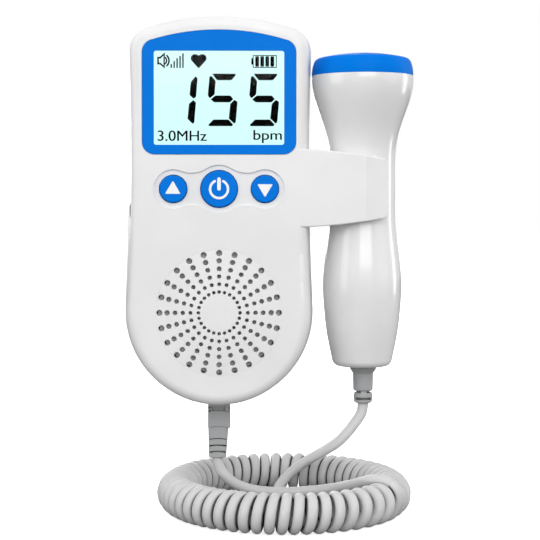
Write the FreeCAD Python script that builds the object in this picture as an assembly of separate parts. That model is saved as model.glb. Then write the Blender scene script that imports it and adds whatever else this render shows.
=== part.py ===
"""Pocket fetal doppler: a hand unit, a probe held in the unit's side clip, and a curly lead between them.

Millimetres.  X to the right, +Y to the rear, +Z up.  The origin is the centre of the unit's flat back.
"""
import FreeCAD, Part
import math
import os

# Hand unit: outline seen from the front
BODY_HEIGHT = 135.0
BODY_DEPTH = 30.0
BOTTOM_RADIUS = 32.7
WAIST_HALF = 31.3
WAIST_Z = 17.6
ARCH_RADIUS = 81.0
CORNER_RADIUS = 9.0
WALL = 2.0
FRONT_DRAFT = 1.9  # how much smaller the front face's outline is than the seam's
BACK_DRAFT = 1.0
FRONT_ROUND = 3.4
BACK_ROUND = 1.9
RUN_GAP = 0.3  # between a moving piece and what it passes
SEAT_GAP = 0.1  # between a fixed piece and its seat
OVER = 1.0  # how far a cut runs past what it cuts
LAP = 0.5  # how far a joined shape reaches into its neighbour
TINY = 1e-5
FAR = 100.0  # longer than any cut needs

# Clip for the probe
JAW_THICK = 3.2
JAW_ROOT_X = 25.0  # inside the casing, where its front is flat
JAW_TIP_X = 57.3
JAW_FLAT_X = 49.6
JAW_ROOT_LOW = -5.5
JAW_ROOT_HIGH = 21.2
JAW_TIP_LOW = -2.2
JAW_TIP_HIGH = 17.6
JAW_TIP_THIN = 1.3
JAW_BULGE = 0.7  # how far the upper and lower edges bow out
JAW_CORNER = 1.8
JAW_ROUND = 0.45
JAW_PIP = (53.0, 0.6)  # X and radius of the moulding pip on the upper edge
SADDLE_WALL = 2.0

# Display
BEZEL_HALF = 25.95
BEZEL_MARGIN = 6.4  # from the casing's top to the bezel's
BEZEL_HEIGHT = 41.9
BEZEL_ARCH_RADIUS = 78.0
BEZEL_CORNER = 4.2
BEZEL_THICK = 0.8
BEZEL_PROUD = 0.15
SCREEN_WIDTH = 44.0
SCREEN_HEIGHT = 31.7
SCREEN_DROP = 29.25  # from the casing's top to the screen's centre
SCREEN_CORNER = 0.8
WINDOW_MARGIN = 0.8
WINDOW_THICK = 1.0
GLASS_MARGIN = 0.9
GLASS_THICK = 2.0
LIGHT_THICK = 2.5
HOLDER_WALL = 1.0
STRIP_THICK = 1.8
STRIP_EDGE = 0.3
STRIP_MARGIN = 1.0  # from the screen's side to the strip's end

# Keys
KEY_Z = 7.5
KEY_PITCH = 15.5
POWER_RADIUS = 6.2
SIDE_RADIUS = 4.6
POD_DEPTH = 0.6
POD_POWER_RADIUS = 8.1
POD_SIDE_RADIUS = 6.6
POD_BLEND = 9.5  # of the waves between the lobes
KEY_GAP = 0.25
KEY_PROUD = 0.95  # above the pod's floor
KEY_ROUND = 0.5
KEY_TRAVEL = 0.6
FLANGE_WIDTH = 1.1
FLANGE_THICK = 0.8
STEM_RADIUS = 1.6
PLUNGER_RADIUS = 1.7
PLUNGER_LENGTH = 2.2
SWITCH_SIDE = 6.0
SWITCH_HEIGHT = 3.4
SWITCH_SPARE = 0.2  # left below a pressed plunger

# Main board
BOARD_THICK = 1.6
BOARD_HALF = 23.4
BOARD_CORNER = 1.5
BOARD_LOW = -9.4
BOARD_MARGIN = 12.0  # from the casing's top to the board's
BOARD_SPACE = 8.2  # from the inside of the front wall to the board's front
BOARD_SCREW_X = 20.5
BOARD_SCREW_LOW = -6.2
BOARD_SCREW_HIGH = 14.6
BOARD_SCREW_RADIUS = 0.9
BOARD_SCREW_LENGTH = 6.0
BOARD_BOSS_RADIUS = 2.1
SCREW_HEAD_RATIO = 1.8
SCREW_HEAD_HEIGHT = 1.1
PILOT_GAP = 0.05
BOARD_CHIPS = (  # centre (X, Z), and width, height and thickness
    ((-5.0, 42.0), (10.0, 10.0, 1.4)), ((8.0, 44.0), (5.0, 6.0, 1.5)), ((9.0, 33.0), (8.0, 3.4, 2.0)),
    ((-12.0, 31.0), (3.0, 3.0, 1.0)), ((-2.0, 31.0), (2.0, 1.2, 0.6)), ((-2.0, 33.4), (2.0, 1.2, 0.6)),
    ((0.0, -4.5), (6.0, 4.6, 1.5)), ((8.0, -4.5), (3.4, 2.8, 1.2)),
)
CONNECTOR_X = (-11.0, 0.0, 11.0)
CONNECTOR_Z = -6.6
CONNECTOR_SIZE = (8.0, 3.0, 4.0)  # width, depth and height
CONNECTOR_WALL = 0.6
CONNECTOR_FLOOR = 0.8

# Case screws
CASE_SCREW_RADIUS = 1.15
CASE_BOSS_RADIUS = 2.1
REAR_BOSS_RADIUS = 3.3
CASE_SCREW_TOP = (26.2, 21.5)  # X, and how far below the casing's top
CASE_SCREW_BOTTOM = (20.9, 15.5)  # X, and how far above the casing's foot
CASE_SCREW_LENGTH = 16.0
CASE_SCREW_SINK = 6.0  # from the back face to the underside of the head
SCREW_ROOM = 0.2  # round a sunk head
SCREW_CROSS = (0.35, 1.2)  # half width and half length of a slot of the cross

# Loudspeaker
SPEAKER_RISE = 33.1  # from the casing's foot to the axis
GRILLE_RADIUS = 21.4
GRILLE_GAP = 0.05
GRILLE_DOME = 0.5
GRILLE_FLANGE = 23.2
GRILLE_FLANGE_THICK = 1.0
GRILLE_RINGS = ((20.2, 1.02), (17.6, 0.91), (14.9, 0.81), (12.3, 0.73), (9.7, 0.66), (7.05, 0.59))
GRILLE_SPOKES = 24
HOLE_SIDES = 8
HOLE_REACH = 6.0
GRILLE_BLANK = 4.4  # radius of the middle, which has no flange behind it
COLLAR_GAP = 0.2
COLLAR_WALL = 1.2
COLLAR_HEIGHT = 5.0
GASKET_THICK = 0.9
SPEAKER_RADIUS = 22.4
SPEAKER_RIM = 3.0
SPEAKER_RIM_THICK = 1.2
BASKET_DEPTH = 5.0
BASKET_BACK_RADIUS = 12.5
BASKET_WALL = 0.7
BASKET_RIM = 1.0
MAGNET_RADIUS = 10.5
MAGNET_HEIGHT = 4.2
CONE_WALL = 0.4
CONE_DEPTH = 4.0
CONE_BULGE = 1.2
VOICE_RADIUS = 6.0

# Battery bay (two AA cells) and its door
CELL_RADIUS = 7.1
CELL_LENGTH = 50.0
CELL_NUB_RADIUS = 2.6
CELL_NUB = 1.2
CELL_PITCH = 14.8
CELL_GAP = 0.25
PLATE_THICK = 0.5
PLATE_HALF = 5.0
PLATE_SPAN = (5.0, 4.0)  # in front of the cells' axis, and behind it
SPRING_SPACE = 2.2
SPRING_HALF = (4.2, 3.6)  # of the leaf's outer and inner bow
SPRING_THICK = 0.3
SPRING_WIDTH = 4.0
BAY_WALL = 1.0
BAY_DROP = 63.6  # from the casing's top to the bay's low end
DOOR_THICK = 1.5
DOOR_GAP = 0.35
DOOR_SPAN = 1.3  # how far the door reaches past the bay at each side
DOOR_CORNER = 1.5
DOOR_TAB_X = 9.0
DOOR_TAB_WIDTH = 5.0
DOOR_TAB_REACH = 1.1
DOOR_TAB_THICK = 1.0
DOOR_TAB_RISE = 0.4
DOOR_TAB_LENGTH = 2.0
TAB_ROOM_DEPTH = 4.6
TAB_ROOM_LIP = 0.55
TAB_ROOM_SPAN = (1.8, 3.2)  # below and above the door's low edge
TAB_WALL = 1.0
TAB_SIDE = 1.5
LATCH_WIDTH = 10.0
LATCH_REACH = 1.6
LATCH_GAP = 0.3
LATCH_SINK = 0.2
GRIP_RIBS = 5
GRIP_DROP = 3.5  # from the door's top to the first groove
GRIP_PITCH = 1.6
GRIP_SIZE = (16.0, 0.35, 0.8)  # width, depth and height

# Headphone jack (3.5 mm) in the left wall
JACK_Z = 0.0
JACK_SIDE = 5.6
JACK_LENGTH = 12.0
JACK_BORE = 1.8
JACK_NOSE_RADIUS = 2.9
JACK_NOSE = 2.8
JACK_DEPTH = 13.0

# Modular plug and its socket in the bottom wall
PLUG_WIDTH = 7.65
PLUG_HEIGHT = 6.6
PLUG_NOSE = 10.3
PLUG_LEVER = (2.3, 3.2)  # X range of the release lever's end
PLUG_LEVER_REACH = 1.6
PLUG_LEVER_THICK = 0.6
PLUG_GAP = 0.2
PLUG_CORNER = 0.5
BLADE_GAP = 0.03
BLADE_DEEP = 1.6
BLADE_SPAN = (3.6, 0.6)  # below the plug's nose
SOCKET_WALL = 1.6
SOCKET_LENGTH = 12.6
SOCKET_FLOOR = 2.4  # from the lowest point of the casing to the socket's mouth
SOCKET_BOARD = (17.0, 15.0, 1.2)
CONTACT_COUNT = 4
CONTACT_PITCH = 1.02
CONTACT_WIDE = 0.4
CONTACT_TALL = 0.8
CONTACT_LENGTH = 8.0
CONTACT_FIT = 0.05
BOOT_TOP = 0.3  # below the casing
BOOT_HEAD_WIDTH = 7.8
BOOT_HEAD_DEPTH = 7.0
BOOT_HEAD = 7.5
BOOT_HEAD_ARCH = 0.75  # how far the head's foot arches up at the middle
BOOT_CORNER = 0.9
BOOT_ROUND = 0.3
BOOT_NECK = 10.4
BOOT_NECK_TOP = (7.1, 6.4, -0.25)  # width, depth, and how far it leans to the side
BOOT_NECK_END = (6.0, 5.6, -0.6)
BOOT_SLOTS = ((11.2, 0.3), (13.5, 0.5), (15.7, 0.5))  # below the boot's top, and height
BOOT_SLOT_ARCH = 0.3
BOOT_SLOT_DEPTH = 0.4
BOOT_SLOT_EDGE = 0.35
BOOT_POCKET = 1.3  # width and depth of the deep ends of a slot
BOOT_WINDOW = (-2.5, 1.9)  # X range of the recess at the top
BOOT_WINDOW_HEIGHT = 1.5
BOOT_NOTCH = (-3.7, -3.0)  # X range of the two notches beside it
BOOT_NOTCHES = ((0.0, 0.7), (1.2, 1.9))
BOOT_RECESS = 0.6

# Probe: radius at each height, from the foot to the seam with the acoustic cap
PROBE_X = 49.85
PROBE_FOOT = ((0.0, -53.9), (8.4, -53.9), (10.4, -51.9))
PROBE_FOOT_BOW = 0.42  # of the round corner, outwards from its chord
PROBE_WAIST = 11.45
PROBE_SIDE = (
    (11.1, -48.5), (12.4, -41.6), (13.2, -34.6), (13.6, -26.0), (13.2, -19.0), (12.4, -12.0),
    (11.6, -5.0), (PROBE_WAIST, 8.0), (11.55, 20.0), (12.9, 28.0), (15.3, 35.0), (17.0, 40.4), (17.6, 46.8),
)
PROBE_WALL = 1.8
PROBE_CAP_SIDE = (17.45, 49.2)
PROBE_CAP_SHOULDER = (16.9, 51.3)
PROBE_CAP_BEND = (16.35, 52.3)
PROBE_CAP_RIM = (15.4, 52.9)
PROBE_CAP_TOP = 54.7
CAP_WALL = 1.4
CAP_SPIGOT = 3.2
CAP_FACE = 3.1  # from the dome's top to the crystals
CRYSTAL_RADIUS = 10.0
CRYSTAL_THICK = 1.0
CRYSTAL_SPLIT = 0.8
BACKING_RADIUS = 12.0
BACKING_THICK = 4.0
PROBE_BOARD_WIDTH = 15.0
PROBE_BOARD_LOW = -32.0
PROBE_BOARD_HIGH = 30.0
PROBE_BOARD_THICK = 1.2
PROBE_BOARD_ROOM = 40.0  # how far up and down its slots run
PROBE_RIBS = (-24.0, 4.0, 22.0)
PROBE_RIB_THICK = 1.4
PROBE_RIB_LAP = 0.9  # of the wall, which leaves the rest for the rib to reach into
PROBE_WIRE_ROOM = 3.0

# Cord
CORD_RADIUS = 1.85
PATH_REACH = 0.45  # of the shorter run, which an arc takes
GLAND_OFFSET = 0.4  # how far outboard of the probe's axis it sits
GLAND_HOLE = 3.3
GLAND_COLLAR = (4.6, 2.6)  # radius and height of what the shells hold
GLAND_FLANGE = (4.5, 1.3)  # radius, and how far below the foot it ends
GLAND_SLEEVE = ((3.55, 2.6), (3.4, 8.4), (3.0, 8.8))
GLAND_RINGS = (((3.0, 9.5), (3.25, 9.8), (3.25, 11.0)), ((3.2, 11.9), (3.2, 12.5), (2.7, 13.0)))
GLAND_CORE = 2.3
GLAND_BRIDGE = 2.0
RING_X = 22.6
RING_RADIUS = 37.5
RING_TUBE = 6.75
SURFACE_Z = -104.6
PLUG_ROUTE = (
    (-0.6, -15.0, -85.7), (-0.6, -15.0, -88.2), (1.9, -15.0, -92.8), (6.6, -14.6, -96.2),
    (13.4, -13.6, -98.4), (22.0, -12.6, -99.0), (31.0, -12.8, -98.6), (39.5, -16.0, -96.4),
    (46.2, -24.4, -92.8), (51.8, -34.4, -89.4), (57.4, -40.4, -91.2),
)
PROBE_ROUTE = (
    (50.25, -15.0, -66.9), (50.25, -15.0, -70.0), (48.0, -13.2, -73.9), (45.6, -9.0, -78.2),
    (42.4, -2.6, -83.2), (37.4, 5.2, -87.8), (31.8, 10.6, -92.2), (26.0, 10.8, -96.4),
    (22.2, 7.2, -99.9), (20.4, 0.6, -102.4), (20.8, -7.6, -102.75), (25.0, -16.0, -102.7),
    (32.8, -22.8, -102.75), (41.0, -28.8, -102.2), (47.5, -34.2, -100.6),
)

BODY_BOTTOM = -BODY_HEIGHT / 2
BODY_TOP = BODY_HEIGHT / 2
BEZEL_TOP = BODY_TOP - BEZEL_MARGIN
BEZEL_LOW = BEZEL_TOP - BEZEL_HEIGHT
SCREEN_Z = BODY_TOP - SCREEN_DROP
SPEAKER_Z = BODY_BOTTOM + SPEAKER_RISE
BAY_LOW = BODY_TOP - BAY_DROP
BOARD_HIGH = BODY_TOP - BOARD_MARGIN
FRONT_Y = -BODY_DEPTH
SEAM_Y = -BODY_DEPTH / 2
INNER_FRONT = FRONT_Y + WALL
BOARD_FRONT = INNER_FRONT + BOARD_SPACE
BOARD_BACK = BOARD_FRONT + BOARD_THICK
CLIP_RADIUS = PROBE_WAIST + RUN_GAP
CAP_INNER = PROBE_CAP_TOP - CAP_FACE


def vec(x, y, z):
    return FreeCAD.Vector(x, y, z)


# ---- shared shapes -------------------------------------------------------------------------------


def box(x, y, z):
    """A box between two values along each axis."""
    low = vec(min(x), min(y), min(z))
    return Part.makeBox(abs(x[1] - x[0]), abs(y[1] - y[0]), abs(z[1] - z[0]), low)


def rod_y(radius, x, z, y0, y1):
    return Part.makeCylinder(radius, abs(y1 - y0), vec(x, min(y0, y1), z), vec(0, 1, 0))


def rod_z(radius, x, y, z0, z1):
    return Part.makeCylinder(radius, abs(z1 - z0), vec(x, y, min(z0, z1)), vec(0, 0, 1))


def rounded_plate(half_x, z_low, z_high, y0, y1, corner, x=0.0):
    """A plate in the XZ plane with rounded corners."""
    plate = box((x - half_x, x + half_x), (y0, y1), (z_low, z_high))
    return plate.makeFillet(corner, along_y(plate))


def along_y(shape):
    """The straight edges of a shape that run along Y."""
    return [e for e in shape.Edges if runs_along(e, vec(0, 1, 0))]


def along_z(shape):
    return [e for e in shape.Edges if runs_along(e, vec(0, 0, 1))]


def runs_along(edge, direction):
    if len(edge.Vertexes) != 2:
        return False
    span = edge.Vertexes[1].Point - edge.Vertexes[0].Point
    return span.Length > TINY and span.normalize().cross(direction).Length < TINY


def edges_at_y(shape, y):
    """The edges that lie in one plane across Y."""
    return [e for e in shape.Edges if abs(e.BoundBox.YMin - y) < TINY and abs(e.BoundBox.YMax - y) < TINY]


def toward(centre, other, distance):
    """The point at a distance from a centre, on the way to another point."""
    return centre + (other - centre).normalize() * distance


def circles_meet(centre_a, radius_a, centre_b, radius_b):
    """The upper of the two points where circles in one XZ plane meet."""
    gap = centre_b - centre_a
    along = (radius_a**2 - radius_b**2 + gap.Length**2) / (2 * gap.Length)
    height = math.sqrt(radius_a**2 - along**2)
    unit = gap.normalize()
    foot = centre_a + unit * along
    points = [foot + vec(-unit.z, 0, unit.x) * (side * height) for side in (1, -1)]
    return max(points, key=lambda p: p.z)


def mirrored(point):
    return vec(-point.x, point.y, point.z)


def body_outline(inset, y):
    """The hand unit's outline at one depth: a round foot, hollow sides, small corners and an arched top."""
    foot = vec(0, y, BODY_BOTTOM + BOTTOM_RADIUS)
    rise = WAIST_Z - foot.z
    hollow_radius = (rise**2 - BOTTOM_RADIUS**2 + WAIST_HALF**2) / (2 * (BOTTOM_RADIUS - WAIST_HALF))
    side = vec(WAIST_HALF + hollow_radius, y, WAIST_Z)
    arch = vec(0, y, BODY_TOP - ARCH_RADIUS)
    corner = circles_meet(arch, ARCH_RADIUS - CORNER_RADIUS, side, hollow_radius + CORNER_RADIUS)
    low = toward(foot, side, BOTTOM_RADIUS - inset)
    high = toward(side, corner, hollow_radius + inset)
    top = toward(arch, corner, ARCH_RADIUS - inset)
    waist = vec(WAIST_HALF - inset, y, WAIST_Z)
    corner_out = toward(corner, (high + top) * 0.5, CORNER_RADIUS - inset)
    left = [mirrored(p) for p in (low, waist, high, corner_out, top)]
    spans = (
        (left[0], vec(0, y, BODY_BOTTOM + inset), low), (low, waist, high), (high, corner_out, top),
        (top, vec(0, y, BODY_TOP - inset), left[4]), (left[4], left[3], left[2]), (left[2], left[1], left[0]),
    )
    return Part.Wire([Part.Arc(*span).toShape() for span in spans])


def body_half(inset, end_y, draft, rounding):
    """One half of the hand unit's block, from the seam to a face, narrowing towards the face."""
    wires = [body_outline(inset, SEAM_Y), body_outline(inset + draft, end_y)]
    block = Part.makeLoft(wires, True, True)
    if rounding:
        block = block.makeFillet(rounding, edges_at_y(block, end_y))
    return block


def revolved(edges, x=0.0, y=0.0):
    """A closed profile of (radius, height) in the XZ plane, turned about a vertical axis at x, y."""
    face = Part.Face(Part.Wire(edges))
    turned = face.revolve(vec(0, 0, 0), vec(0, 0, 1), 360)
    turned.translate(vec(x, y, 0))
    return turned


def polygon_edges(points):
    corners = [vec(r, 0, z) for r, z in points]
    return [Part.LineSegment(a, b).toShape() for a, b in zip(corners, corners[1:] + corners[:1])]


# ---- clip ----------------------------------------------------------------------------------------


def clip_blank():
    """The whole clip before it is split at the seam: two jaws and a saddle for the probe's waist."""
    root_low, tip_low = vec(JAW_ROOT_X, FRONT_Y, JAW_ROOT_LOW), vec(JAW_TIP_X, FRONT_Y, JAW_TIP_LOW)
    root_high, tip_high = vec(JAW_ROOT_X, FRONT_Y, JAW_ROOT_HIGH), vec(JAW_TIP_X, FRONT_Y, JAW_TIP_HIGH)
    edges = [
        Part.Arc(root_low, bowed(root_low, tip_low, -JAW_BULGE), tip_low).toShape(),
        Part.LineSegment(tip_low, tip_high).toShape(),
        Part.Arc(tip_high, bowed(tip_high, root_high, JAW_BULGE), root_high).toShape(),
        Part.LineSegment(root_high, root_low).toShape(),
    ]
    blank = Part.Face(Part.Wire(edges)).extrude(vec(0, BODY_DEPTH, 0))
    tips = [e for e in along_y(blank) if e.BoundBox.XMin > JAW_TIP_X - JAW_ROUND]
    blank = blank.makeFillet(JAW_CORNER, tips)
    for face_y, way in ((FRONT_Y, 1), (0.0, -1)):
        blank = blank.cut(jaw_relief(face_y, way))
    blank = blank.makeFillet(JAW_ROUND, jaw_rims(blank))
    probe = rod_z(CLIP_RADIUS, PROBE_X, SEAM_Y, -FAR / 2, FAR / 2)
    mouth = box((PROBE_X, FAR), (SEAM_Y - CLIP_RADIUS, SEAM_Y + CLIP_RADIUS), (-FAR / 2, FAR / 2))
    return blank.cut(probe).cut(mouth).fuse(jaw_pip())


def bowed(start, end, rise):
    """The middle of an arc between two points of an XZ plane that bows up by a rise."""
    return (start + end) * 0.5 + vec(0, 0, rise)


def jaw_rims(blank):
    """The outer edges of both jaws, apart from those at the root."""
    half = (JAW_THICK - JAW_TIP_THIN) * 2
    rims = []
    for edge in blank.Edges:
        b = edge.BoundBox
        outer = b.YMax < FRONT_Y + half or b.YMin > -half
        if outer and b.XMax > JAW_ROOT_X + JAW_ROUND and not on_one_face_line(b):
            rims.append(edge)
    return rims


def on_one_face_line(b):
    """Whether an edge's box is that of the crease where a jaw's flat turns into its relief."""
    return abs(b.XMax - b.XMin) < JAW_ROUND and b.XMax < JAW_TIP_X - JAW_ROUND


def jaw_pip():
    """The small pip that the mould's vent leaves on the front jaw's upper edge."""
    x, radius = JAW_PIP
    share = (x - JAW_ROOT_X) / (JAW_TIP_X - JAW_ROOT_X)
    rise = 4 * JAW_BULGE * share * (1 - share)
    z = JAW_ROOT_HIGH + (JAW_TIP_HIGH - JAW_ROOT_HIGH) * share + rise
    return rod_y(radius, x, z, FRONT_Y + JAW_THICK / 2, FRONT_Y + JAW_THICK)


def jaw_relief(face_y, way):
    """What is taken off a jaw's outer face so that its tip slants in towards the probe."""
    thin_y = face_y + way * (JAW_THICK - JAW_TIP_THIN)
    outside = JAW_TIP_X + OVER
    low = -FAR / 2
    corners = [
        vec(JAW_FLAT_X, face_y, low), vec(JAW_TIP_X, thin_y, low), vec(outside, thin_y, low),
        vec(outside, face_y - way, low), vec(JAW_FLAT_X, face_y - way, low),
    ]
    return Part.Face(Part.makePolygon(corners + corners[:1])).extrude(vec(0, 0, FAR))


def clip_hollow():
    """The room inside the clip's root, behind the saddle."""
    x = (WAIST_HALF - 2 * WALL, PROBE_X - CLIP_RADIUS - SADDLE_WALL)
    y = (FRONT_Y + JAW_THICK, -JAW_THICK)
    return box(x, y, (JAW_ROOT_LOW + 2 * SADDLE_WALL, JAW_ROOT_HIGH - 2 * SADDLE_WALL))


# ---- casing --------------------------------------------------------------------------------------


def mirror_places(place):
    return [(place[0], place[1]), (-place[0], place[1])]


def case_screw_places():
    top = (CASE_SCREW_TOP[0], BODY_TOP - CASE_SCREW_TOP[1])
    bottom = (CASE_SCREW_BOTTOM[0], BODY_BOTTOM + CASE_SCREW_BOTTOM[1])
    return mirror_places(top) + mirror_places(bottom)


def board_screw_places():
    return mirror_places((BOARD_SCREW_X, BOARD_SCREW_LOW)) + mirror_places((BOARD_SCREW_X, BOARD_SCREW_HIGH))


def bezel_outline(inset, y0, y1):
    """The bezel's block: straight sides, a flat foot and an arched top, with rounded corners."""
    half = BEZEL_HALF - inset
    arch_z = BEZEL_TOP - BEZEL_ARCH_RADIUS
    radius = BEZEL_ARCH_RADIUS - inset
    side_top = arch_z + math.sqrt(radius**2 - half**2)
    low = BEZEL_LOW + inset
    foot = [vec(-half, y0, low), vec(half, y0, low)]
    top = [vec(half, y0, side_top), vec(-half, y0, side_top)]
    edges = [
        Part.LineSegment(foot[0], foot[1]).toShape(),
        Part.LineSegment(foot[1], top[0]).toShape(),
        Part.Arc(top[0], vec(0, y0, BEZEL_TOP - inset), top[1]).toShape(),
        Part.LineSegment(top[1], foot[0]).toShape(),
    ]
    block = Part.Face(Part.Wire(edges)).extrude(vec(0, y1 - y0, 0))
    return block.makeFillet(BEZEL_CORNER - inset, along_y(block))


def pod_recess():
    """The shallow recess round the three keys: three round lobes joined by waves."""
    depth = (FRONT_Y - OVER, FRONT_Y + POD_DEPTH)
    power = vec(0, 0, KEY_Z)
    pod = rod_y(POD_POWER_RADIUS, 0, KEY_Z, *depth)
    for x in (-KEY_PITCH, KEY_PITCH):
        lobe = vec(x, 0, KEY_Z)
        wave = circles_meet(power, POD_POWER_RADIUS + POD_BLEND, lobe, POD_SIDE_RADIUS + POD_BLEND)
        inner = toward(power, wave, POD_POWER_RADIUS)
        outer = toward(lobe, wave, POD_SIDE_RADIUS)
        rise = inner.z - KEY_Z
        neck = box((inner.x, outer.x), depth, (KEY_Z - rise, KEY_Z + rise))
        for z in (wave.z, 2 * KEY_Z - wave.z):
            neck = neck.cut(rod_y(POD_BLEND, wave.x, z, *depth))
        pod = pod.fuse([rod_y(POD_SIDE_RADIUS, x, KEY_Z, *depth), neck])
    return pod.removeSplitter()


def key_specs():
    """Name, X and radius of each key."""
    return (
        ("power", 0.0, POWER_RADIUS),
        ("volume_up", -KEY_PITCH, SIDE_RADIUS),
        ("volume_down", KEY_PITCH, SIDE_RADIUS),
    )


def socket_mouth(gap):
    """The way through the bottom wall for the modular plug."""
    half_x = PLUG_WIDTH / 2 + gap
    half_y = PLUG_HEIGHT / 2 + gap
    height = (BODY_BOTTOM - OVER, BODY_BOTTOM + 2 * WALL)
    return box((-half_x, half_x), (SEAM_Y - half_y, SEAM_Y + half_y), height)


def socket_bed(gap):
    """The room that the cord socket and its small board take."""
    half_x = PLUG_WIDTH / 2 + SOCKET_WALL + gap
    half_y = PLUG_HEIGHT / 2 + SOCKET_WALL + gap
    low = BODY_BOTTOM + SOCKET_FLOOR
    return box((-half_x, half_x), (SEAM_Y - half_y, SEAM_Y + half_y), (low - gap, low + SOCKET_LENGTH + gap))


def board_slot():
    """The slot that grips the socket's small board."""
    wide, deep, thick = SOCKET_BOARD
    low = BODY_BOTTOM + SOCKET_FLOOR + SOCKET_LENGTH
    half_x = wide / 2 + SEAT_GAP
    half_y = deep / 2 + SEAT_GAP
    height = (low - SEAT_GAP, low + thick + SEAT_GAP)
    return box((-half_x, half_x), (SEAM_Y - half_y, SEAM_Y + half_y), height)


def socket_frame(y0, y1):
    """Ribs that hold the socket and its board, in one half of the casing."""
    wide = SOCKET_BOARD[0] / 2 + SOCKET_WALL
    low = BODY_BOTTOM + WALL / 2
    high = BODY_BOTTOM + SOCKET_FLOOR + SOCKET_LENGTH + SOCKET_BOARD[2] + SOCKET_WALL
    frame = box((-wide, wide), (y0, y1), (low, high))
    room = box((-wide + 2 * SOCKET_WALL, wide - 2 * SOCKET_WALL), (y0, y1), (high - SOCKET_WALL - LAP, high))
    return frame.cut(room).cut(socket_bed(SEAT_GAP)).cut(board_slot())


def speaker_collar():
    """The ring on the front wall's inside that keeps the loudspeaker in place."""
    inner = GRILLE_FLANGE + COLLAR_GAP
    y = (INNER_FRONT, INNER_FRONT + COLLAR_HEIGHT)
    return rod_y(inner + COLLAR_WALL, 0, SPEAKER_Z, *y).cut(rod_y(inner, 0, SPEAKER_Z, *y))


def front_shell():
    outer = body_half(0.0, FRONT_Y, FRONT_DRAFT, FRONT_ROUND)
    hollow = body_half(WALL, INNER_FRONT, FRONT_DRAFT, FRONT_ROUND - WALL / 2)
    front_part = box((-FAR, FAR), (FRONT_Y, SEAM_Y), (-FAR, FAR))
    shell = outer.fuse(clip_blank().common(front_part)).cut(hollow).cut(clip_hollow().common(front_part))
    frame = socket_frame(INNER_FRONT + COLLAR_HEIGHT + OVER, SEAM_Y)
    shell = shell.fuse(front_bosses().common(outer)).fuse(speaker_collar()).fuse(frame.common(outer))
    shell = shell.cut(bezel_outline(-SEAT_GAP, FRONT_Y - OVER, FRONT_Y + BEZEL_THICK))
    shell = shell.cut(window_block(SEAT_GAP, FRONT_Y, INNER_FRONT + OVER)).cut(pod_recess())
    shell = shell.cut(rod_y(GRILLE_RADIUS + GRILLE_GAP, 0, SPEAKER_Z, FRONT_Y - OVER, INNER_FRONT + LAP))
    for _, x, radius in key_specs():
        shell = shell.cut(rod_y(radius + KEY_GAP, x, KEY_Z, FRONT_Y, INNER_FRONT + OVER))
    shell = shell.cut(socket_mouth(PLUG_GAP)).cut(socket_bed(SEAT_GAP))
    return shell.cut(jack_nose(SEAT_GAP)).removeSplitter()


def front_bosses():
    """Screw bosses of the front shell: four for the case and four for the main board."""
    bosses = []
    for x, z in case_screw_places():
        boss = rod_y(CASE_BOSS_RADIUS, x, z, INNER_FRONT - LAP, SEAM_Y)
        depth = CASE_SCREW_LENGTH + CASE_SCREW_SINK + OVER
        bosses.append(boss.cut(rod_y(CASE_SCREW_RADIUS + PILOT_GAP, x, z, -depth, SEAM_Y)))
    for x, z in board_screw_places():
        boss = rod_y(BOARD_BOSS_RADIUS, x, z, INNER_FRONT - LAP, BOARD_FRONT)
        pilot = rod_y(BOARD_SCREW_RADIUS + PILOT_GAP, x, z, INNER_FRONT + OVER, BOARD_FRONT)
        bosses.append(boss.cut(pilot))
    return bosses[0].fuse(bosses[1:])


def bay_half_x():
    return CELL_PITCH / 2 + CELL_RADIUS + CELL_GAP


def bay_high():
    return BAY_LOW + PLATE_THICK + SPRING_SPACE + CELL_LENGTH + CELL_NUB + PLATE_THICK


def bay_floor():
    """The bay's floor, just in front of the cells."""
    return -DOOR_THICK - CELL_GAP - 2 * CELL_RADIUS - CELL_GAP


def bay_room(grow):
    """The battery bay's room, or its block with walls when grown."""
    x = (-bay_half_x() - grow, bay_half_x() + grow)
    return box(x, (bay_floor() - grow, 0.0), (BAY_LOW - grow, bay_high() + grow))


def door_room(gap, thick):
    """The door's place in the back wall; squarer corners than the door's leave room for its swing."""
    half = bay_half_x() + DOOR_SPAN + gap
    low = BAY_LOW - DOOR_SPAN - gap
    return rounded_plate(half, low, bay_high() + DOOR_SPAN + gap, -thick, 0.0, DOOR_CORNER - 2 * gap)


def tab_rooms():
    """Pockets below the door where its tabs hook in and swing."""
    low = BAY_LOW - DOOR_SPAN - DOOR_GAP
    down, up = TAB_ROOM_SPAN
    half = DOOR_TAB_WIDTH / 2 + DOOR_GAP
    y = (-TAB_ROOM_DEPTH, -DOOR_THICK + TAB_ROOM_LIP)
    return [box((x - half, x + half), y, (low - down, low + up)) for x in (-DOOR_TAB_X, DOOR_TAB_X)]


def tab_block():
    """The block round those pockets."""
    half = DOOR_TAB_X + DOOR_TAB_WIDTH / 2 + TAB_SIDE
    low = BAY_LOW - DOOR_SPAN - DOOR_GAP - TAB_ROOM_SPAN[0] - TAB_WALL
    return box((-half, half), (-TAB_ROOM_DEPTH - TAB_WALL, -WALL / 2), (low, BAY_LOW))


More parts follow.
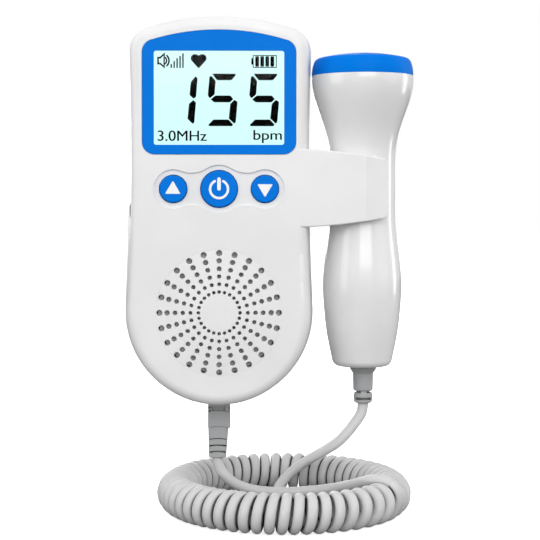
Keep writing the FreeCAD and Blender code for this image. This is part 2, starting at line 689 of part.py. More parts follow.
def rear_shell():
    outer = body_half(0.0, 0.0, BACK_DRAFT, BACK_ROUND)
    hollow = body_half(WALL, -WALL, BACK_DRAFT, 0.0)
    rear_part = box((-FAR, FAR), (SEAM_Y, 0.0), (-FAR, FAR))
    shell = outer.fuse(clip_blank().common(rear_part)).cut(hollow).cut(clip_hollow().common(rear_part))
    bosses = [rod_y(REAR_BOSS_RADIUS, x, z, SEAM_Y, -WALL / 2) for x, z in case_screw_places()]
    shell = shell.fuse([b.common(outer) for b in bosses]).fuse(bay_room(BAY_WALL).common(rear_block(outer)))
    shell = shell.fuse(tab_block()).fuse(socket_frame(SEAM_Y, -WALL / 2).common(outer))
    shell = shell.cut(bay_room(0.0)).cut(door_room(DOOR_GAP, DOOR_THICK))
    shell = shell.cut(tab_rooms()).cut(latch_notch(LATCH_GAP))
    head = CASE_SCREW_RADIUS * SCREW_HEAD_RATIO + SCREW_ROOM
    for x, z in case_screw_places():
        shell = shell.cut(rod_y(head, x, z, -CASE_SCREW_SINK, OVER))
        shell = shell.cut(rod_y(CASE_SCREW_RADIUS + PILOT_GAP, x, z, SEAM_Y - OVER, 0.0))
    return shell.cut(socket_mouth(PLUG_GAP)).cut(socket_bed(SEAT_GAP)).removeSplitter()


def rear_block(outer):
    """The rear half's block, let down to the bay's floor, so that the bay may reach past the seam."""
    front = box((-FAR, FAR), (bay_floor() - BAY_WALL, SEAM_Y), (-FAR, FAR))
    return outer.fuse(bay_room(BAY_WALL).common(front))


def latch_notch(gap):
    """The notch above the door for its latch tongue and a fingertip."""
    high = bay_high() + DOOR_SPAN
    half = LATCH_WIDTH / 2 + gap
    return box((-half, half), (-DOOR_THICK, OVER), (high - OVER, high + LATCH_REACH + gap))


def door_section(thick, low, high):
    """The door's section: its lower edge is round about the hinge line."""
    middle = low + thick / 2
    section = [
        Part.LineSegment(vec(-FAR, 0, high), vec(-FAR, 0, middle)).toShape(),
        Part.Arc(vec(-FAR, 0, middle), vec(-FAR, -thick / 2, low), vec(-FAR, -thick, middle)).toShape(),
        Part.LineSegment(vec(-FAR, -thick, middle), vec(-FAR, -thick, high)).toShape(),
        Part.LineSegment(vec(-FAR, -thick, high), vec(-FAR, 0, high)).toShape(),
    ]
    return Part.Face(Part.Wire(section)).extrude(vec(2 * FAR, 0, 0))


def battery_door():
    thick = DOOR_THICK - SEAT_GAP
    low = BAY_LOW - DOOR_SPAN
    high = bay_high() + DOOR_SPAN
    door = door_room(0.0, thick).common(door_section(thick, low, high))
    half = LATCH_WIDTH / 2
    tongue = box((-half, half), (SEAT_GAP - DOOR_THICK, -LATCH_SINK), (high - OVER, high + LATCH_REACH))
    door = door.fuse(tongue).fuse(door_tabs(low))
    wide, deep, tall = GRIP_SIZE
    for i in range(GRIP_RIBS):
        z = high - GRIP_DROP - GRIP_PITCH * i
        door = door.cut(box((-wide / 2, wide / 2), (-deep, OVER), (z - tall / 2, z + tall / 2)))
    return door.removeSplitter()


def door_tabs(low):
    """The two hooks at the door's low edge."""
    half = DOOR_TAB_WIDTH / 2
    inner = -DOOR_THICK - DOOR_TAB_THICK
    high = low + DOOR_TAB_LENGTH
    tabs = []
    for x in (-DOOR_TAB_X, DOOR_TAB_X):
        tabs.append(box((x - half, x + half), (inner, LAP - DOOR_THICK), (low + DOOR_TAB_RISE, high)))
        tabs.append(box((x - half, x + half), (inner, -DOOR_THICK), (low - DOOR_TAB_REACH, high)))
    return tabs


def case_screws():
    thin, long = SCREW_CROSS
    screws = []
    for x, z in case_screw_places():
        head_y = -CASE_SCREW_SINK
        head = rod_y(CASE_SCREW_RADIUS * SCREW_HEAD_RATIO, x, z, head_y, head_y + 2 * SCREW_HEAD_HEIGHT)
        screw = head.fuse(rod_y(CASE_SCREW_RADIUS, x, z, head_y - CASE_SCREW_LENGTH, head_y))
        for half_x, half_z in ((thin, long), (long, thin)):
            slot = box((x - half_x, x + half_x), (head_y + SCREW_HEAD_HEIGHT, 0.0), (z - half_z, z + half_z))
            screw = screw.cut(slot)
        screws.append(screw)
    return Part.makeCompound(screws)


# ---- display -------------------------------------------------------------------------------------


def screen_block(margin, y0, y1):
    half = SCREEN_WIDTH / 2 + margin
    low = SCREEN_Z - SCREEN_HEIGHT / 2 - margin
    high = SCREEN_Z + SCREEN_HEIGHT / 2 + margin
    return box((-half, half), (y0, y1), (low, high))


def window_block(gap, y0, y1):
    return screen_block(WINDOW_MARGIN + gap, y0, y1)


def display_layers():
    """The Y of each layer's front, from the window's back to the board."""
    window = FRONT_Y + BEZEL_THICK
    glass = window + WINDOW_THICK + SEAT_GAP
    light = glass + GLASS_THICK
    return window, glass, light


def display_bezel():
    bezel = bezel_outline(0.0, FRONT_Y - BEZEL_PROUD, FRONT_Y + BEZEL_THICK)
    opening = screen_block(0.0, FRONT_Y - OVER, 0.0)
    return bezel.cut(opening.makeFillet(SCREEN_CORNER, along_y(opening)))


def display_window():
    window = display_layers()[0]
    return window_block(0.0, window, window + WINDOW_THICK)


def lcd_glass():
    _, glass, light = display_layers()
    return screen_block(GLASS_MARGIN, glass, light)


def lcd_backlight():
    light = display_layers()[2]
    cut = screen_block(GLASS_MARGIN, light, light + LIGHT_THICK)
    low = SCREEN_Z - SCREEN_HEIGHT / 2 - GLASS_MARGIN + 2 * STRIP_EDGE + STRIP_THICK
    return cut.common(box((-FAR, FAR), (FRONT_Y, 0.0), (low, FAR)))


def lcd_strip():
    """The rubber strip that carries the signals from the board to the glass."""
    light = display_layers()[2]
    low = SCREEN_Z - SCREEN_HEIGHT / 2 - GLASS_MARGIN + STRIP_EDGE
    half = SCREEN_WIDTH / 2 - STRIP_MARGIN
    return box((-half, half), (light, BOARD_FRONT), (low, low + STRIP_THICK))


def lcd_frame():
    glass = display_layers()[1]
    light_back = display_layers()[2] + LIGHT_THICK
    outer = screen_block(GLASS_MARGIN + SEAT_GAP + HOLDER_WALL, max(glass, INNER_FRONT), BOARD_FRONT)
    frame = outer.cut(screen_block(GLASS_MARGIN + SEAT_GAP, FRONT_Y, light_back))
    low = SCREEN_Z - SCREEN_HEIGHT / 2 + STRIP_THICK
    half = SCREEN_WIDTH / 2
    room = box((-half, half), (light_back, 0.0), (low, SCREEN_Z + SCREEN_HEIGHT / 2))
    strip = lcd_strip().BoundBox
    x = (strip.XMin - SEAT_GAP, strip.XMax + SEAT_GAP)
    slot = box(x, (FRONT_Y, 0.0), (strip.ZMin - SEAT_GAP, strip.ZMax + SEAT_GAP))
    shelf = box((-FAR, FAR), (light_back, light_back + HOLDER_WALL), (-FAR, FAR)).common(outer)
    return frame.cut(room.cut(shelf)).cut(slot)


# ---- board and keys ------------------------------------------------------------------------------


def main_board():
    board = rounded_plate(BOARD_HALF, BOARD_LOW, BOARD_HIGH, BOARD_FRONT, BOARD_BACK, BOARD_CORNER)
    for x, z in board_screw_places():
        board = board.cut(rod_y(BOARD_SCREW_RADIUS + SEAT_GAP, x, z, FRONT_Y, 0.0))
    return board


def board_screws():
    screws = []
    radius = BOARD_SCREW_RADIUS
    for x, z in board_screw_places():
        head = rod_y(radius * SCREW_HEAD_RATIO, x, z, BOARD_BACK, BOARD_BACK + SCREW_HEAD_HEIGHT)
        shaft = rod_y(radius, x, z, BOARD_BACK - BOARD_SCREW_LENGTH, BOARD_BACK)
        screws.append(head.fuse(shaft))
    return Part.makeCompound(screws)


def board_chips():
    """The processor, the amplifier, the crystal and the small parts on the board's front."""
    chips = []
    for (x, z), (wide, tall, thick) in BOARD_CHIPS:
        y = (BOARD_FRONT - thick, BOARD_FRONT)
        chips.append(box((x - wide / 2, x + wide / 2), y, (z - tall / 2, z + tall / 2)))
    return Part.makeCompound(chips)


def connector_block(x, inset, y0, y1):
    half_x = CONNECTOR_SIZE[0] / 2 - inset
    half_z = CONNECTOR_SIZE[2] / 2 - inset
    return box((x - half_x, x + half_x), (y0, y1), (CONNECTOR_Z - half_z, CONNECTOR_Z + half_z))


def board_connectors():
    """White wire connectors on the board's back, for the cells, the loudspeaker and the socket."""
    parts = []
    for x in CONNECTOR_X:
        shell = connector_block(x, 0.0, BOARD_BACK, BOARD_BACK + CONNECTOR_SIZE[1])
        parts.append(shell.cut(connector_block(x, CONNECTOR_WALL, BOARD_BACK + CONNECTOR_FLOOR, 0.0)))
    return Part.makeCompound(parts)


def key_layers():
    """The Y of the pod's floor, of the flange's front and of the switch's front."""
    floor = FRONT_Y + POD_DEPTH
    flange = INNER_FRONT + SEAT_GAP
    switch = BOARD_FRONT - SWITCH_HEIGHT
    return floor, flange, switch


def key_cap(x, radius):
    floor, flange, switch = key_layers()
    top = floor - KEY_PROUD
    cap = rod_y(radius, x, KEY_Z, top, flange + FLANGE_THICK)
    cap = cap.makeFillet(KEY_ROUND, edges_at_y(cap, top))
    ring = rod_y(radius + FLANGE_WIDTH, x, KEY_Z, flange, flange + FLANGE_THICK)
    stem = rod_y(STEM_RADIUS, x, KEY_Z, flange, switch - PLUNGER_LENGTH / 2)
    return cap.fuse([ring, stem])


def key_plunger(x):
    switch = key_layers()[2]
    return rod_y(PLUNGER_RADIUS, x, KEY_Z, switch - PLUNGER_LENGTH / 2, switch + PLUNGER_LENGTH / 2)


def key_switches():
    switch = key_layers()[2]
    half = SWITCH_SIDE / 2
    bodies = []
    for _, x, _ in key_specs():
        body = box((x - half, x + half), (switch, BOARD_FRONT), (KEY_Z - half, KEY_Z + half))
        bottom = switch + PLUNGER_LENGTH / 2 + KEY_TRAVEL + SWITCH_SPARE
        bodies.append(body.cut(rod_y(PLUNGER_RADIUS + SEAT_GAP, x, KEY_Z, switch, bottom)))
    return Part.makeCompound(bodies)


# ---- loudspeaker ---------------------------------------------------------------------------------


def speaker_grille():
    """A shallow dome with rings of holes, and the flange behind it that the casing's wall holds."""
    back = INNER_FRONT + GRILLE_FLANGE_THICK
    plug = rod_y(GRILLE_RADIUS, 0, SPEAKER_Z, FRONT_Y - 2 * GRILLE_DOME, back)
    sphere_radius = (GRILLE_RADIUS**2 + GRILLE_DOME**2) / (2 * GRILLE_DOME)
    sphere = Part.makeSphere(sphere_radius, vec(0, FRONT_Y - GRILLE_DOME + sphere_radius, SPEAKER_Z))
    grille = plug.common(sphere).fuse(rod_y(GRILLE_FLANGE, 0, SPEAKER_Z, INNER_FRONT, back))
    grille = grille.cut(rod_y(GRILLE_BLANK, 0, SPEAKER_Z, INNER_FRONT, back))
    return grille.cut(Part.makeCompound(grille_holes()))


def grille_holes():
    holes = []
    for ring_radius, hole_radius in GRILLE_RINGS:
        for i in range(GRILLE_SPOKES):
            turn = 2 * math.pi * i / GRILLE_SPOKES
            x = ring_radius * math.sin(turn)
            holes.append(grille_hole(x, SPEAKER_Z + ring_radius * math.cos(turn), hole_radius))
    return holes


def grille_hole(x, z, radius):
    front = FRONT_Y - 2 * GRILLE_DOME - OVER
    corners = []
    for k in range(HOLE_SIDES + 1):
        turn = 2 * math.pi * (k + 0.5) / HOLE_SIDES
        corners.append(vec(x + radius * math.cos(turn), front, z + radius * math.sin(turn)))
    return Part.Face(Part.makePolygon(corners)).extrude(vec(0, HOLE_REACH, 0))


def speaker_front():
    return INNER_FRONT + GRILLE_FLANGE_THICK + GASKET_THICK


def speaker_gasket():
    y0 = INNER_FRONT + GRILLE_FLANGE_THICK
    ring = rod_y(SPEAKER_RADIUS, 0, SPEAKER_Z, y0, speaker_front())
    return ring.cut(rod_y(SPEAKER_RADIUS - SPEAKER_RIM / 2, 0, SPEAKER_Z, y0, speaker_front()))


def turned_y(points):
    """A closed (radius, Y) profile turned about the loudspeaker's axis."""
    corners = [vec(r, y, SPEAKER_Z) for r, y in points]
    face = Part.Face(Part.makePolygon(corners + corners[:1]))
    return face.revolve(vec(0, 0, SPEAKER_Z), vec(0, 1, 0), 360)


def speaker_frame():
    y0 = speaker_front()
    rim = y0 + SPEAKER_RIM_THICK
    back = rim + BASKET_DEPTH
    inner = SPEAKER_RADIUS - SPEAKER_RIM
    hole = VOICE_RADIUS + BASKET_RIM
    return turned_y((
        (inner, y0), (SPEAKER_RADIUS, y0), (SPEAKER_RADIUS, rim), (inner + BASKET_WALL, rim),
        (BASKET_BACK_RADIUS, back), (hole, back), (hole, back - BASKET_WALL),
        (BASKET_BACK_RADIUS - BASKET_WALL, back - BASKET_WALL), (inner, rim),
    ))


def speaker_cone():
    y0 = speaker_front() + SPEAKER_RIM_THICK / 2
    rim = SPEAKER_RADIUS - SPEAKER_RIM
    back = y0 + CONE_DEPTH
    return turned_y((
        (0.0, back - CONE_BULGE), (VOICE_RADIUS, back), (rim, y0), (rim, y0 + CONE_WALL),
        (VOICE_RADIUS, back + CONE_WALL), (0.0, back - CONE_BULGE + CONE_WALL),
    ))


def speaker_magnet():
    y0 = speaker_front() + SPEAKER_RIM_THICK + BASKET_DEPTH
    return rod_y(MAGNET_RADIUS, 0, SPEAKER_Z, y0, y0 + MAGNET_HEIGHT)


# ---- cells and contacts --------------------------------------------------------------------------


def cell_y():
    return -DOOR_THICK - CELL_GAP - CELL_RADIUS


def battery_cells():
    cells = []
    low = BAY_LOW + PLATE_THICK + SPRING_SPACE
    for side in (-1, 1):
        x = side * CELL_PITCH / 2
        can = rod_z(CELL_RADIUS, x, cell_y(), 0.0, CELL_LENGTH)
        cell = can.fuse(rod_z(CELL_NUB_RADIUS, x, cell_y(), CELL_LENGTH, CELL_LENGTH + CELL_NUB))
        if side > 0:
            cell.rotate(vec(x, cell_y(), (CELL_LENGTH + CELL_NUB) / 2), vec(0, 1, 0), 180)
        cell.translate(vec(0, 0, low - (0.0 if side < 0 else SPRING_SPACE)))
        cells.append(cell)
    return Part.makeCompound(cells)


def battery_plates():
    """Flat contacts behind the cells' nubs, and the plates that carry the springs."""
    plates = []
    front, rear = PLATE_SPAN
    y = (cell_y() - front, cell_y() + rear)
    for x in (-CELL_PITCH / 2, CELL_PITCH / 2):
        for z in (BAY_LOW, bay_high() - PLATE_THICK):
            plates.append(box((x - PLATE_HALF, x + PLATE_HALF), y, (z, z + PLATE_THICK)))
    return Part.makeCompound(plates)


def spring_bow(x, plate_z, half, rise):
    """Three points of a leaf's bow, from one foot over the crest to the other foot."""
    return [vec(x - half, 0, plate_z), vec(x, 0, plate_z + rise), vec(x + half, 0, plate_z)]


def battery_springs():
    """Bowed leaf springs behind the cells' flat ends."""
    springs = []
    for side, plate_z, way in ((-1, BAY_LOW + PLATE_THICK, 1), (1, bay_high() - PLATE_THICK, -1)):
        x = side * CELL_PITCH / 2
        outer = spring_bow(x, plate_z, SPRING_HALF[0], SPRING_SPACE * way)
        inner = spring_bow(x, plate_z, SPRING_HALF[1], (SPRING_SPACE - SPRING_THICK) * way)
        edges = [
            Part.Arc(*outer).toShape(), Part.LineSegment(outer[2], inner[2]).toShape(),
            Part.Arc(*inner[::-1]).toShape(), Part.LineSegment(inner[0], outer[0]).toShape(),
        ]
        leaf = Part.Face(Part.Wire(edges)).extrude(vec(0, SPRING_WIDTH, 0))
        leaf.translate(vec(0, cell_y() - SPRING_WIDTH / 2, 0))
        springs.append(leaf)
    return Part.makeCompound(springs)


# ---- sockets and plug ----------------------------------------------------------------------------


def wall_half_at(y):
    """The casing's half width at the jack's height, at one depth in the front half."""
    share = (SEAM_Y - y) / (SEAM_Y - FRONT_Y)
    return WAIST_HALF - FRONT_DRAFT * share


def jack_place():
    """The Y of the headphone jack's axis and the X of its mouth."""
    y = BOARD_FRONT - JACK_SIDE / 2
    return y, -wall_half_at(y)


def jack_nose(gap):
    y, mouth = jack_place()
    start = vec(mouth - OVER, y, JACK_Z)
    return Part.makeCylinder(JACK_NOSE_RADIUS + gap, JACK_NOSE + OVER, start, vec(1, 0, 0))


def headphone_jack():
    y, mouth = jack_place()
    nose = Part.makeCylinder(JACK_NOSE_RADIUS, JACK_NOSE + LAP, vec(mouth, y, JACK_Z), vec(1, 0, 0))
    half = JACK_SIDE / 2
    start = mouth + JACK_NOSE
    body = box((start, start + JACK_LENGTH), (y - half, y + half), (JACK_Z - half, JACK_Z + half))
    bore = Part.makeCylinder(JACK_BORE, JACK_DEPTH, vec(mouth, y, JACK_Z), vec(1, 0, 0))
    return body.fuse(nose).cut(bore)


def cord_socket():
    return socket_bed(0.0).cut(plug_room()).cut(contact_bars(CONTACT_FIT, SOCKET_LENGTH))


def plug_room():
    """The socket's inside, open below."""
    half_x = PLUG_WIDTH / 2 + PLUG_GAP
    half_y = PLUG_HEIGHT / 2 + PLUG_GAP
    low = BODY_BOTTOM + SOCKET_FLOOR
    height = (low - OVER, low + SOCKET_LENGTH - SOCKET_WALL)
    return box((-half_x, half_x), (SEAM_Y - half_y, SEAM_Y + half_y), height)


def contact_bars(gap, length):
    """The socket's contacts, in grooves of its rear wall."""
    bars = []
    wall_y = SEAM_Y + PLUG_HEIGHT / 2 + PLUG_GAP
    high = BODY_BOTTOM + SOCKET_FLOOR + SOCKET_LENGTH
    for i in range(CONTACT_COUNT):
        x = (i - (CONTACT_COUNT - 1) / 2) * CONTACT_PITCH
        half = CONTACT_WIDE / 2 + gap
        bars.append(box((x - half, x + half), (wall_y, wall_y + CONTACT_TALL + gap), (high - length, high)))
    return Part.makeCompound(bars)


def socket_board():
    wide, deep, thick = SOCKET_BOARD
    low = BODY_BOTTOM + SOCKET_FLOOR + SOCKET_LENGTH
    return box((-wide / 2, wide / 2), (SEAM_Y - deep / 2, SEAM_Y + deep / 2), (low, low + thick))


def plug_body():
    half_x = PLUG_WIDTH / 2
    half_y = PLUG_HEIGHT / 2
    low = BODY_BOTTOM - BOOT_TOP
    nose = box((-half_x, half_x), (SEAM_Y - half_y, SEAM_Y + half_y), (low, low + PLUG_NOSE))
    nose = nose.makeFillet(PLUG_CORNER, along_z(nose)).fuse(plug_lever(0.0))
    return nose.cut(plug_blades(BLADE_GAP))


def plug_lever(gap):
    """The end of the plug's release lever, which lies in the front of the boot's head."""
    top = BODY_BOTTOM - BOOT_TOP
    front = SEAM_Y - PLUG_HEIGHT / 2
    x = (PLUG_LEVER[0] - gap, PLUG_LEVER[1] + gap)
    y = (SEAM_Y - BOOT_HEAD_DEPTH if gap else front, front + PLUG_LEVER_THICK + gap)
    return box(x, y, (top - PLUG_LEVER_REACH - gap, top + (0 if gap else BLADE_GAP)))


def plug_blades(gap):
    """The plug's gold blades, flush in its rear face."""
    blades = []
    nose = BODY_BOTTOM - BOOT_TOP + PLUG_NOSE
    face = SEAM_Y + PLUG_HEIGHT / 2
    down, up = BLADE_SPAN
    for i in range(CONTACT_COUNT):
        x = (i - (CONTACT_COUNT - 1) / 2) * CONTACT_PITCH
        half = CONTACT_WIDE / 2 + gap
        y = (face - BLADE_DEEP - gap, face + gap)
        blades.append(box((x - half, x + half), y, (nose - down - gap, nose - up)))
    return Part.makeCompound(blades)


def boot_section(size, z):
    """The boot's outline at one height: a rectangle with round corners, which leans to one side."""
    width, depth, lean = size
    y = (SEAM_Y - depth / 2, SEAM_Y + depth / 2)
    slab = box((lean - width / 2, lean + width / 2), y, (z, z + BOOT_ROUND))
    slab = slab.makeFillet(BOOT_CORNER, along_z(slab))
    return [face for face in slab.Faces if face.BoundBox.ZMax < z + BOOT_ROUND / 2][0].OuterWire


def boot_head(top):
    """The head's block: round edges, a foot that arches up, and small recesses round the plug's lever."""
    low = top - BOOT_HEAD
    half = BOOT_HEAD_DEPTH / 2
    head = box((-BOOT_HEAD_WIDTH / 2, BOOT_HEAD_WIDTH / 2), (SEAM_Y - half, SEAM_Y + half), (low, top))
    head = head.makeFillet(BOOT_CORNER, along_z(head))
    head = head.makeFillet(BOOT_ROUND, [e for e in head.Edges if e.BoundBox.ZMax < low + BOOT_ROUND])
    chord = BOOT_NECK_TOP[0] / 2
    radius = (chord**2 + BOOT_HEAD_ARCH**2) / (2 * BOOT_HEAD_ARCH)
    head = head.cut(rod_y(radius, BOOT_NECK_TOP[2], low + BOOT_HEAD_ARCH - radius, -FAR, FAR))
    front = (SEAM_Y - BOOT_HEAD_DEPTH, SEAM_Y - half + BOOT_RECESS)
    head = head.cut(box(BOOT_WINDOW, front, (top - BOOT_WINDOW_HEIGHT, top)))
    for high, deep in BOOT_NOTCHES:
        head = head.cut(box(BOOT_NOTCH, front, (top - deep, top - high)))
    return head.cut(plug_lever(SEAT_GAP))


def arched_band(x, z, height, width, depth):
    """A slot's shape: a band that arches up at its middle, in the boot's front and rear to a depth."""
    radius = (width**2 / 4 + BOOT_SLOT_ARCH**2) / (2 * BOOT_SLOT_ARCH)
    low = z - radius
    band = rod_y(radius + height / 2, x, low, -FAR, FAR).cut(rod_y(radius - height / 2, x, low, -FAR, FAR))
    inner = BOOT_NECK_END[1] / 2 - depth
    reach = (z - 2 * BOOT_SLOT_ARCH - height, z + height)
    band = band.common(box((x - width / 2, x + width / 2), (-FAR, FAR), reach))
    return band.cut(box((-FAR, FAR), (SEAM_Y - inner, SEAM_Y + inner), (z - FAR, z + FAR)))


def boot_slot(drop, height):
    """One slot of the boot: shallow all along, with a deep pocket near each end."""
    share = (drop - BOOT_HEAD) / BOOT_NECK
    width, _, lean = [a + (b - a) * share for a, b in zip(BOOT_NECK_TOP, BOOT_NECK_END)]
    z = BODY_BOTTOM - BOOT_TOP - drop
    width -= 2 * BOOT_SLOT_EDGE
    slot = arched_band(lean, z, height, width, BOOT_SLOT_DEPTH)
    if height < BOOT_SLOTS[-1][1]:
        return slot
    reach = width / 2 - BOOT_POCKET
    pockets = arched_band(lean, z, height, width, BOOT_POCKET)
    return slot.fuse(pockets.cut(box((lean - reach, lean + reach), (-FAR, FAR), (-2 * FAR, FAR))))


def plug_boot():
    """The moulded boot under the plug: a square head, and a tapering neck with slots on each side."""
    top = BODY_BOTTOM - BOOT_TOP
    end = top - BOOT_HEAD - BOOT_NECK
    wires = [boot_section(BOOT_NECK_END, end), boot_section(BOOT_NECK_TOP, top - BOOT_HEAD + BOOT_CORNER)]
    neck = Part.makeLoft(wires, True, True)
    neck = neck.makeFillet(BOOT_ROUND, [e for e in neck.Edges if e.BoundBox.ZMax < end + BOOT_ROUND])
    boot = boot_head(top).fuse(neck)
    for drop, height in BOOT_SLOTS:
        boot = boot.cut(boot_slot(drop, height))
    return boot.removeSplitter()


# ---- probe ---------------------------------------------------------------------------------------


def probe_profile(inset):
    """The probe's outline from the foot up to the seam, closed along the axis."""
    foot_z = PROBE_FOOT[0][1] + inset
    corner = PROBE_FOOT[2]
    low = vec(PROBE_FOOT[1][0] - inset, 0, foot_z)
    rim = vec(corner[0] - inset, 0, corner[1] + inset / 2)
    bottom = Part.LineSegment(vec(0, 0, foot_z), low).toShape()
    chord = (rim - low).normalize()
    middle = (low + rim) * 0.5 + vec(chord.z, 0, -chord.x) * PROBE_FOOT_BOW
    bend = Part.Arc(low, middle, rim).toShape()
    side = Part.BSplineCurve()
    side.interpolate([rim] + [vec(r - inset, 0, z) for r, z in PROBE_SIDE])
    top = PROBE_SIDE[-1]
    lid = Part.LineSegment(vec(top[0] - inset, 0, top[1]), vec(0, 0, top[1])).toShape()
    axis = Part.LineSegment(vec(0, 0, top[1]), vec(0, 0, foot_z)).toShape()
    return [bottom, bend, side.toShape(), lid, axis]


def probe_ribs():
    """Three cross walls that hold the probe's board, each with a way through for the wires."""
    inside = revolved(probe_profile(PROBE_WALL * PROBE_RIB_LAP), PROBE_X, SEAM_Y)
    ribs = []
    for z in PROBE_RIBS:
        rib = rod_z(FAR, PROBE_X, SEAM_Y, z, z + PROBE_RIB_THICK).common(inside)
        ribs.append(rib.cut(rod_z(PROBE_WIRE_ROOM, PROBE_X, SEAM_Y, z - OVER, z + PROBE_RIB_THICK + OVER)))
    return ribs


def probe_shell(rear):
    """One half of the probe's handle, split in the plane of its axis."""
    shell = revolved(probe_profile(0.0), PROBE_X, SEAM_Y)
    shell = shell.cut(revolved(probe_profile(PROBE_WALL), PROBE_X, SEAM_Y)).fuse(probe_ribs())
    half = PROBE_BOARD_WIDTH / 2 + SEAT_GAP
    thick = PROBE_BOARD_THICK / 2 + SEAT_GAP
    height = (-PROBE_BOARD_ROOM, PROBE_BOARD_ROOM)
    slot = box((PROBE_X - half, PROBE_X + half), (SEAM_Y - thick, SEAM_Y + thick), height)
    foot = PROBE_FOOT[0][1]
    mouth = rod_z(GLAND_HOLE, PROBE_X + GLAND_OFFSET, SEAM_Y, foot - OVER, foot + 2 * PROBE_WALL)
    side = (SEAM_Y, FAR) if rear else (-FAR, SEAM_Y)
    return shell.cut(slot).cut(mouth).common(box((-FAR, FAR), side, (-FAR, FAR)))


def probe_cap():
    """The acoustic cap: a shallow dome over a rounded shoulder, with a spigot down into the handle."""
    seam_radius, seam_z = PROBE_SIDE[-1]
    spigot = seam_radius - PROBE_WALL - SEAT_GAP
    seam = vec(seam_radius, 0, seam_z)
    side, shoulder, bend, rim = [vec(r, 0, z) for r, z in
                                 (PROBE_CAP_SIDE, PROBE_CAP_SHOULDER, PROBE_CAP_BEND, PROBE_CAP_RIM)]
    rise = PROBE_CAP_TOP - rim.z
    dome_radius = (rim.x**2 + rise**2) / (2 * rise)
    half_angle = math.asin(rim.x / dome_radius) / 2
    crown = PROBE_CAP_TOP - dome_radius * (1 - math.cos(half_angle))
    top = vec(0, 0, PROBE_CAP_TOP)
    edges = [
        Part.Arc(seam, side, shoulder).toShape(), Part.Arc(shoulder, bend, rim).toShape(),
        Part.Arc(rim, vec(dome_radius * math.sin(half_angle), 0, crown), top).toShape(),
    ]
    inner = spigot - CAP_WALL
    foot = seam_z - CAP_SPIGOT
    corners = ((0.0, CAP_INNER), (inner, CAP_INNER), (inner, foot), (spigot, foot), (spigot, seam_z))
    points = [top] + [vec(r, 0, z) for r, z in corners] + [seam]
    edges += [Part.LineSegment(a, b).toShape() for a, b in zip(points, points[1:])]
    return revolved(edges, PROBE_X, SEAM_Y)


def crystal_pair():
    """Two half discs bonded to the inside of the cap, one to send and one to receive."""
    disc = rod_z(CRYSTAL_RADIUS, PROBE_X, SEAM_Y, CAP_INNER - CRYSTAL_THICK, CAP_INNER)
    gap = box((PROBE_X - CRYSTAL_SPLIT / 2, PROBE_X + CRYSTAL_SPLIT / 2), (-FAR, FAR), (-FAR, FAR))
    return Part.makeCompound(disc.cut(gap).Solids)


def crystal_backing():
    high = CAP_INNER - CRYSTAL_THICK
    return rod_z(BACKING_RADIUS, PROBE_X, SEAM_Y, high - BACKING_THICK, high)


def probe_board():
    half = PROBE_BOARD_WIDTH / 2
    y = (SEAM_Y - PROBE_BOARD_THICK / 2, SEAM_Y + PROBE_BOARD_THICK / 2)
    return box((PROBE_X - half, PROBE_X + half), y, (PROBE_BOARD_LOW, PROBE_BOARD_HIGH))


def probe_gland():
    """The strain relief under the probe: a flange, a sleeve and two rings, and a collar inside the shells."""
    foot = PROBE_FOOT[0][1]
    neck = GLAND_HOLE - SEAT_GAP
    collar, collar_height = GLAND_COLLAR
    inner = foot + PROBE_WALL
    outline = [(0.0, inner + collar_height), (collar, inner + collar_height), (collar, inner + SEAT_GAP),
               (neck, inner + SEAT_GAP), (neck, foot), (GLAND_FLANGE[0], foot)]
    outline += [(r, foot - drop) for r, drop in (GLAND_FLANGE,) + GLAND_SLEEVE]
    starts = []
    for ring in GLAND_RINGS:
        starts.append(outline[-1][1])
        outline += [(GLAND_CORE, outline[-1][1]), (GLAND_CORE, foot - ring[0][1])]
        outline += [(r, foot - drop) for r, drop in ring]
    outline.append((0.0, outline[-1][1]))
    x = PROBE_X + GLAND_OFFSET
    gland = revolved(polygon_edges(outline), x, SEAM_Y)
    half = GLAND_BRIDGE / 2
    spans = (((x - half, x + half), (-FAR, FAR)), ((-FAR, FAR), (SEAM_Y - half, SEAM_Y + half)))
    for ring, high, span in zip(GLAND_RINGS, starts, spans):
        low = foot - ring[0][1]
        gland = gland.fuse(rod_z(ring[0][0], x, SEAM_Y, low, high).common(box(*span, (low, high))))
    return gland.removeSplitter()


# ---- cord ----------------------------------------------------------------------------------------


def rounded_path(points):
    """Straight runs joined by tangent arcs, each as large as its two runs allow."""
    places = [vec(*p) for p in points]
    edges = []
    start = places[0]
    for before, corner, after in zip(places, places[1:], places[2:]):
        back = before - corner
        ahead = after - corner
        reach = PATH_REACH * min(back.Length, ahead.Length)
        turn = math.pi - back.getAngle(ahead)
        radius = reach / math.tan(turn / 2)
        arc_start = corner + back.normalize() * reach
        arc_end = corner + ahead.normalize() * reach
        bulge = radius * (1 / math.cos(turn / 2) - 1)
        middle = corner + (back + ahead).normalize() * bulge
        edges.append(Part.LineSegment(start, arc_start).toShape())
        edges.append(Part.Arc(arc_start, middle, arc_end).toShape())
        start = arc_end
    edges.append(Part.LineSegment(start, places[-1]).toShape())
    return Part.Wire(edges)


def cord_tube(points):
    path = rounded_path(points)
    direction = vec(*points[1]) - vec(*points[0])
    ring = Part.Wire(Part.makeCircle(CORD_RADIUS, vec(*points[0]), direction))
    return path.makePipeShell([ring], True, False, 0)


def curly_ring():
    """The curly part of the cord, lying in a ring: its outer shape."""
    return Part.makeTorus(RING_RADIUS, RING_TUBE, vec(RING_X, SEAM_Y, SURFACE_Z + RING_TUBE))


# ---- all pieces ----------------------------------------------------------------------------------


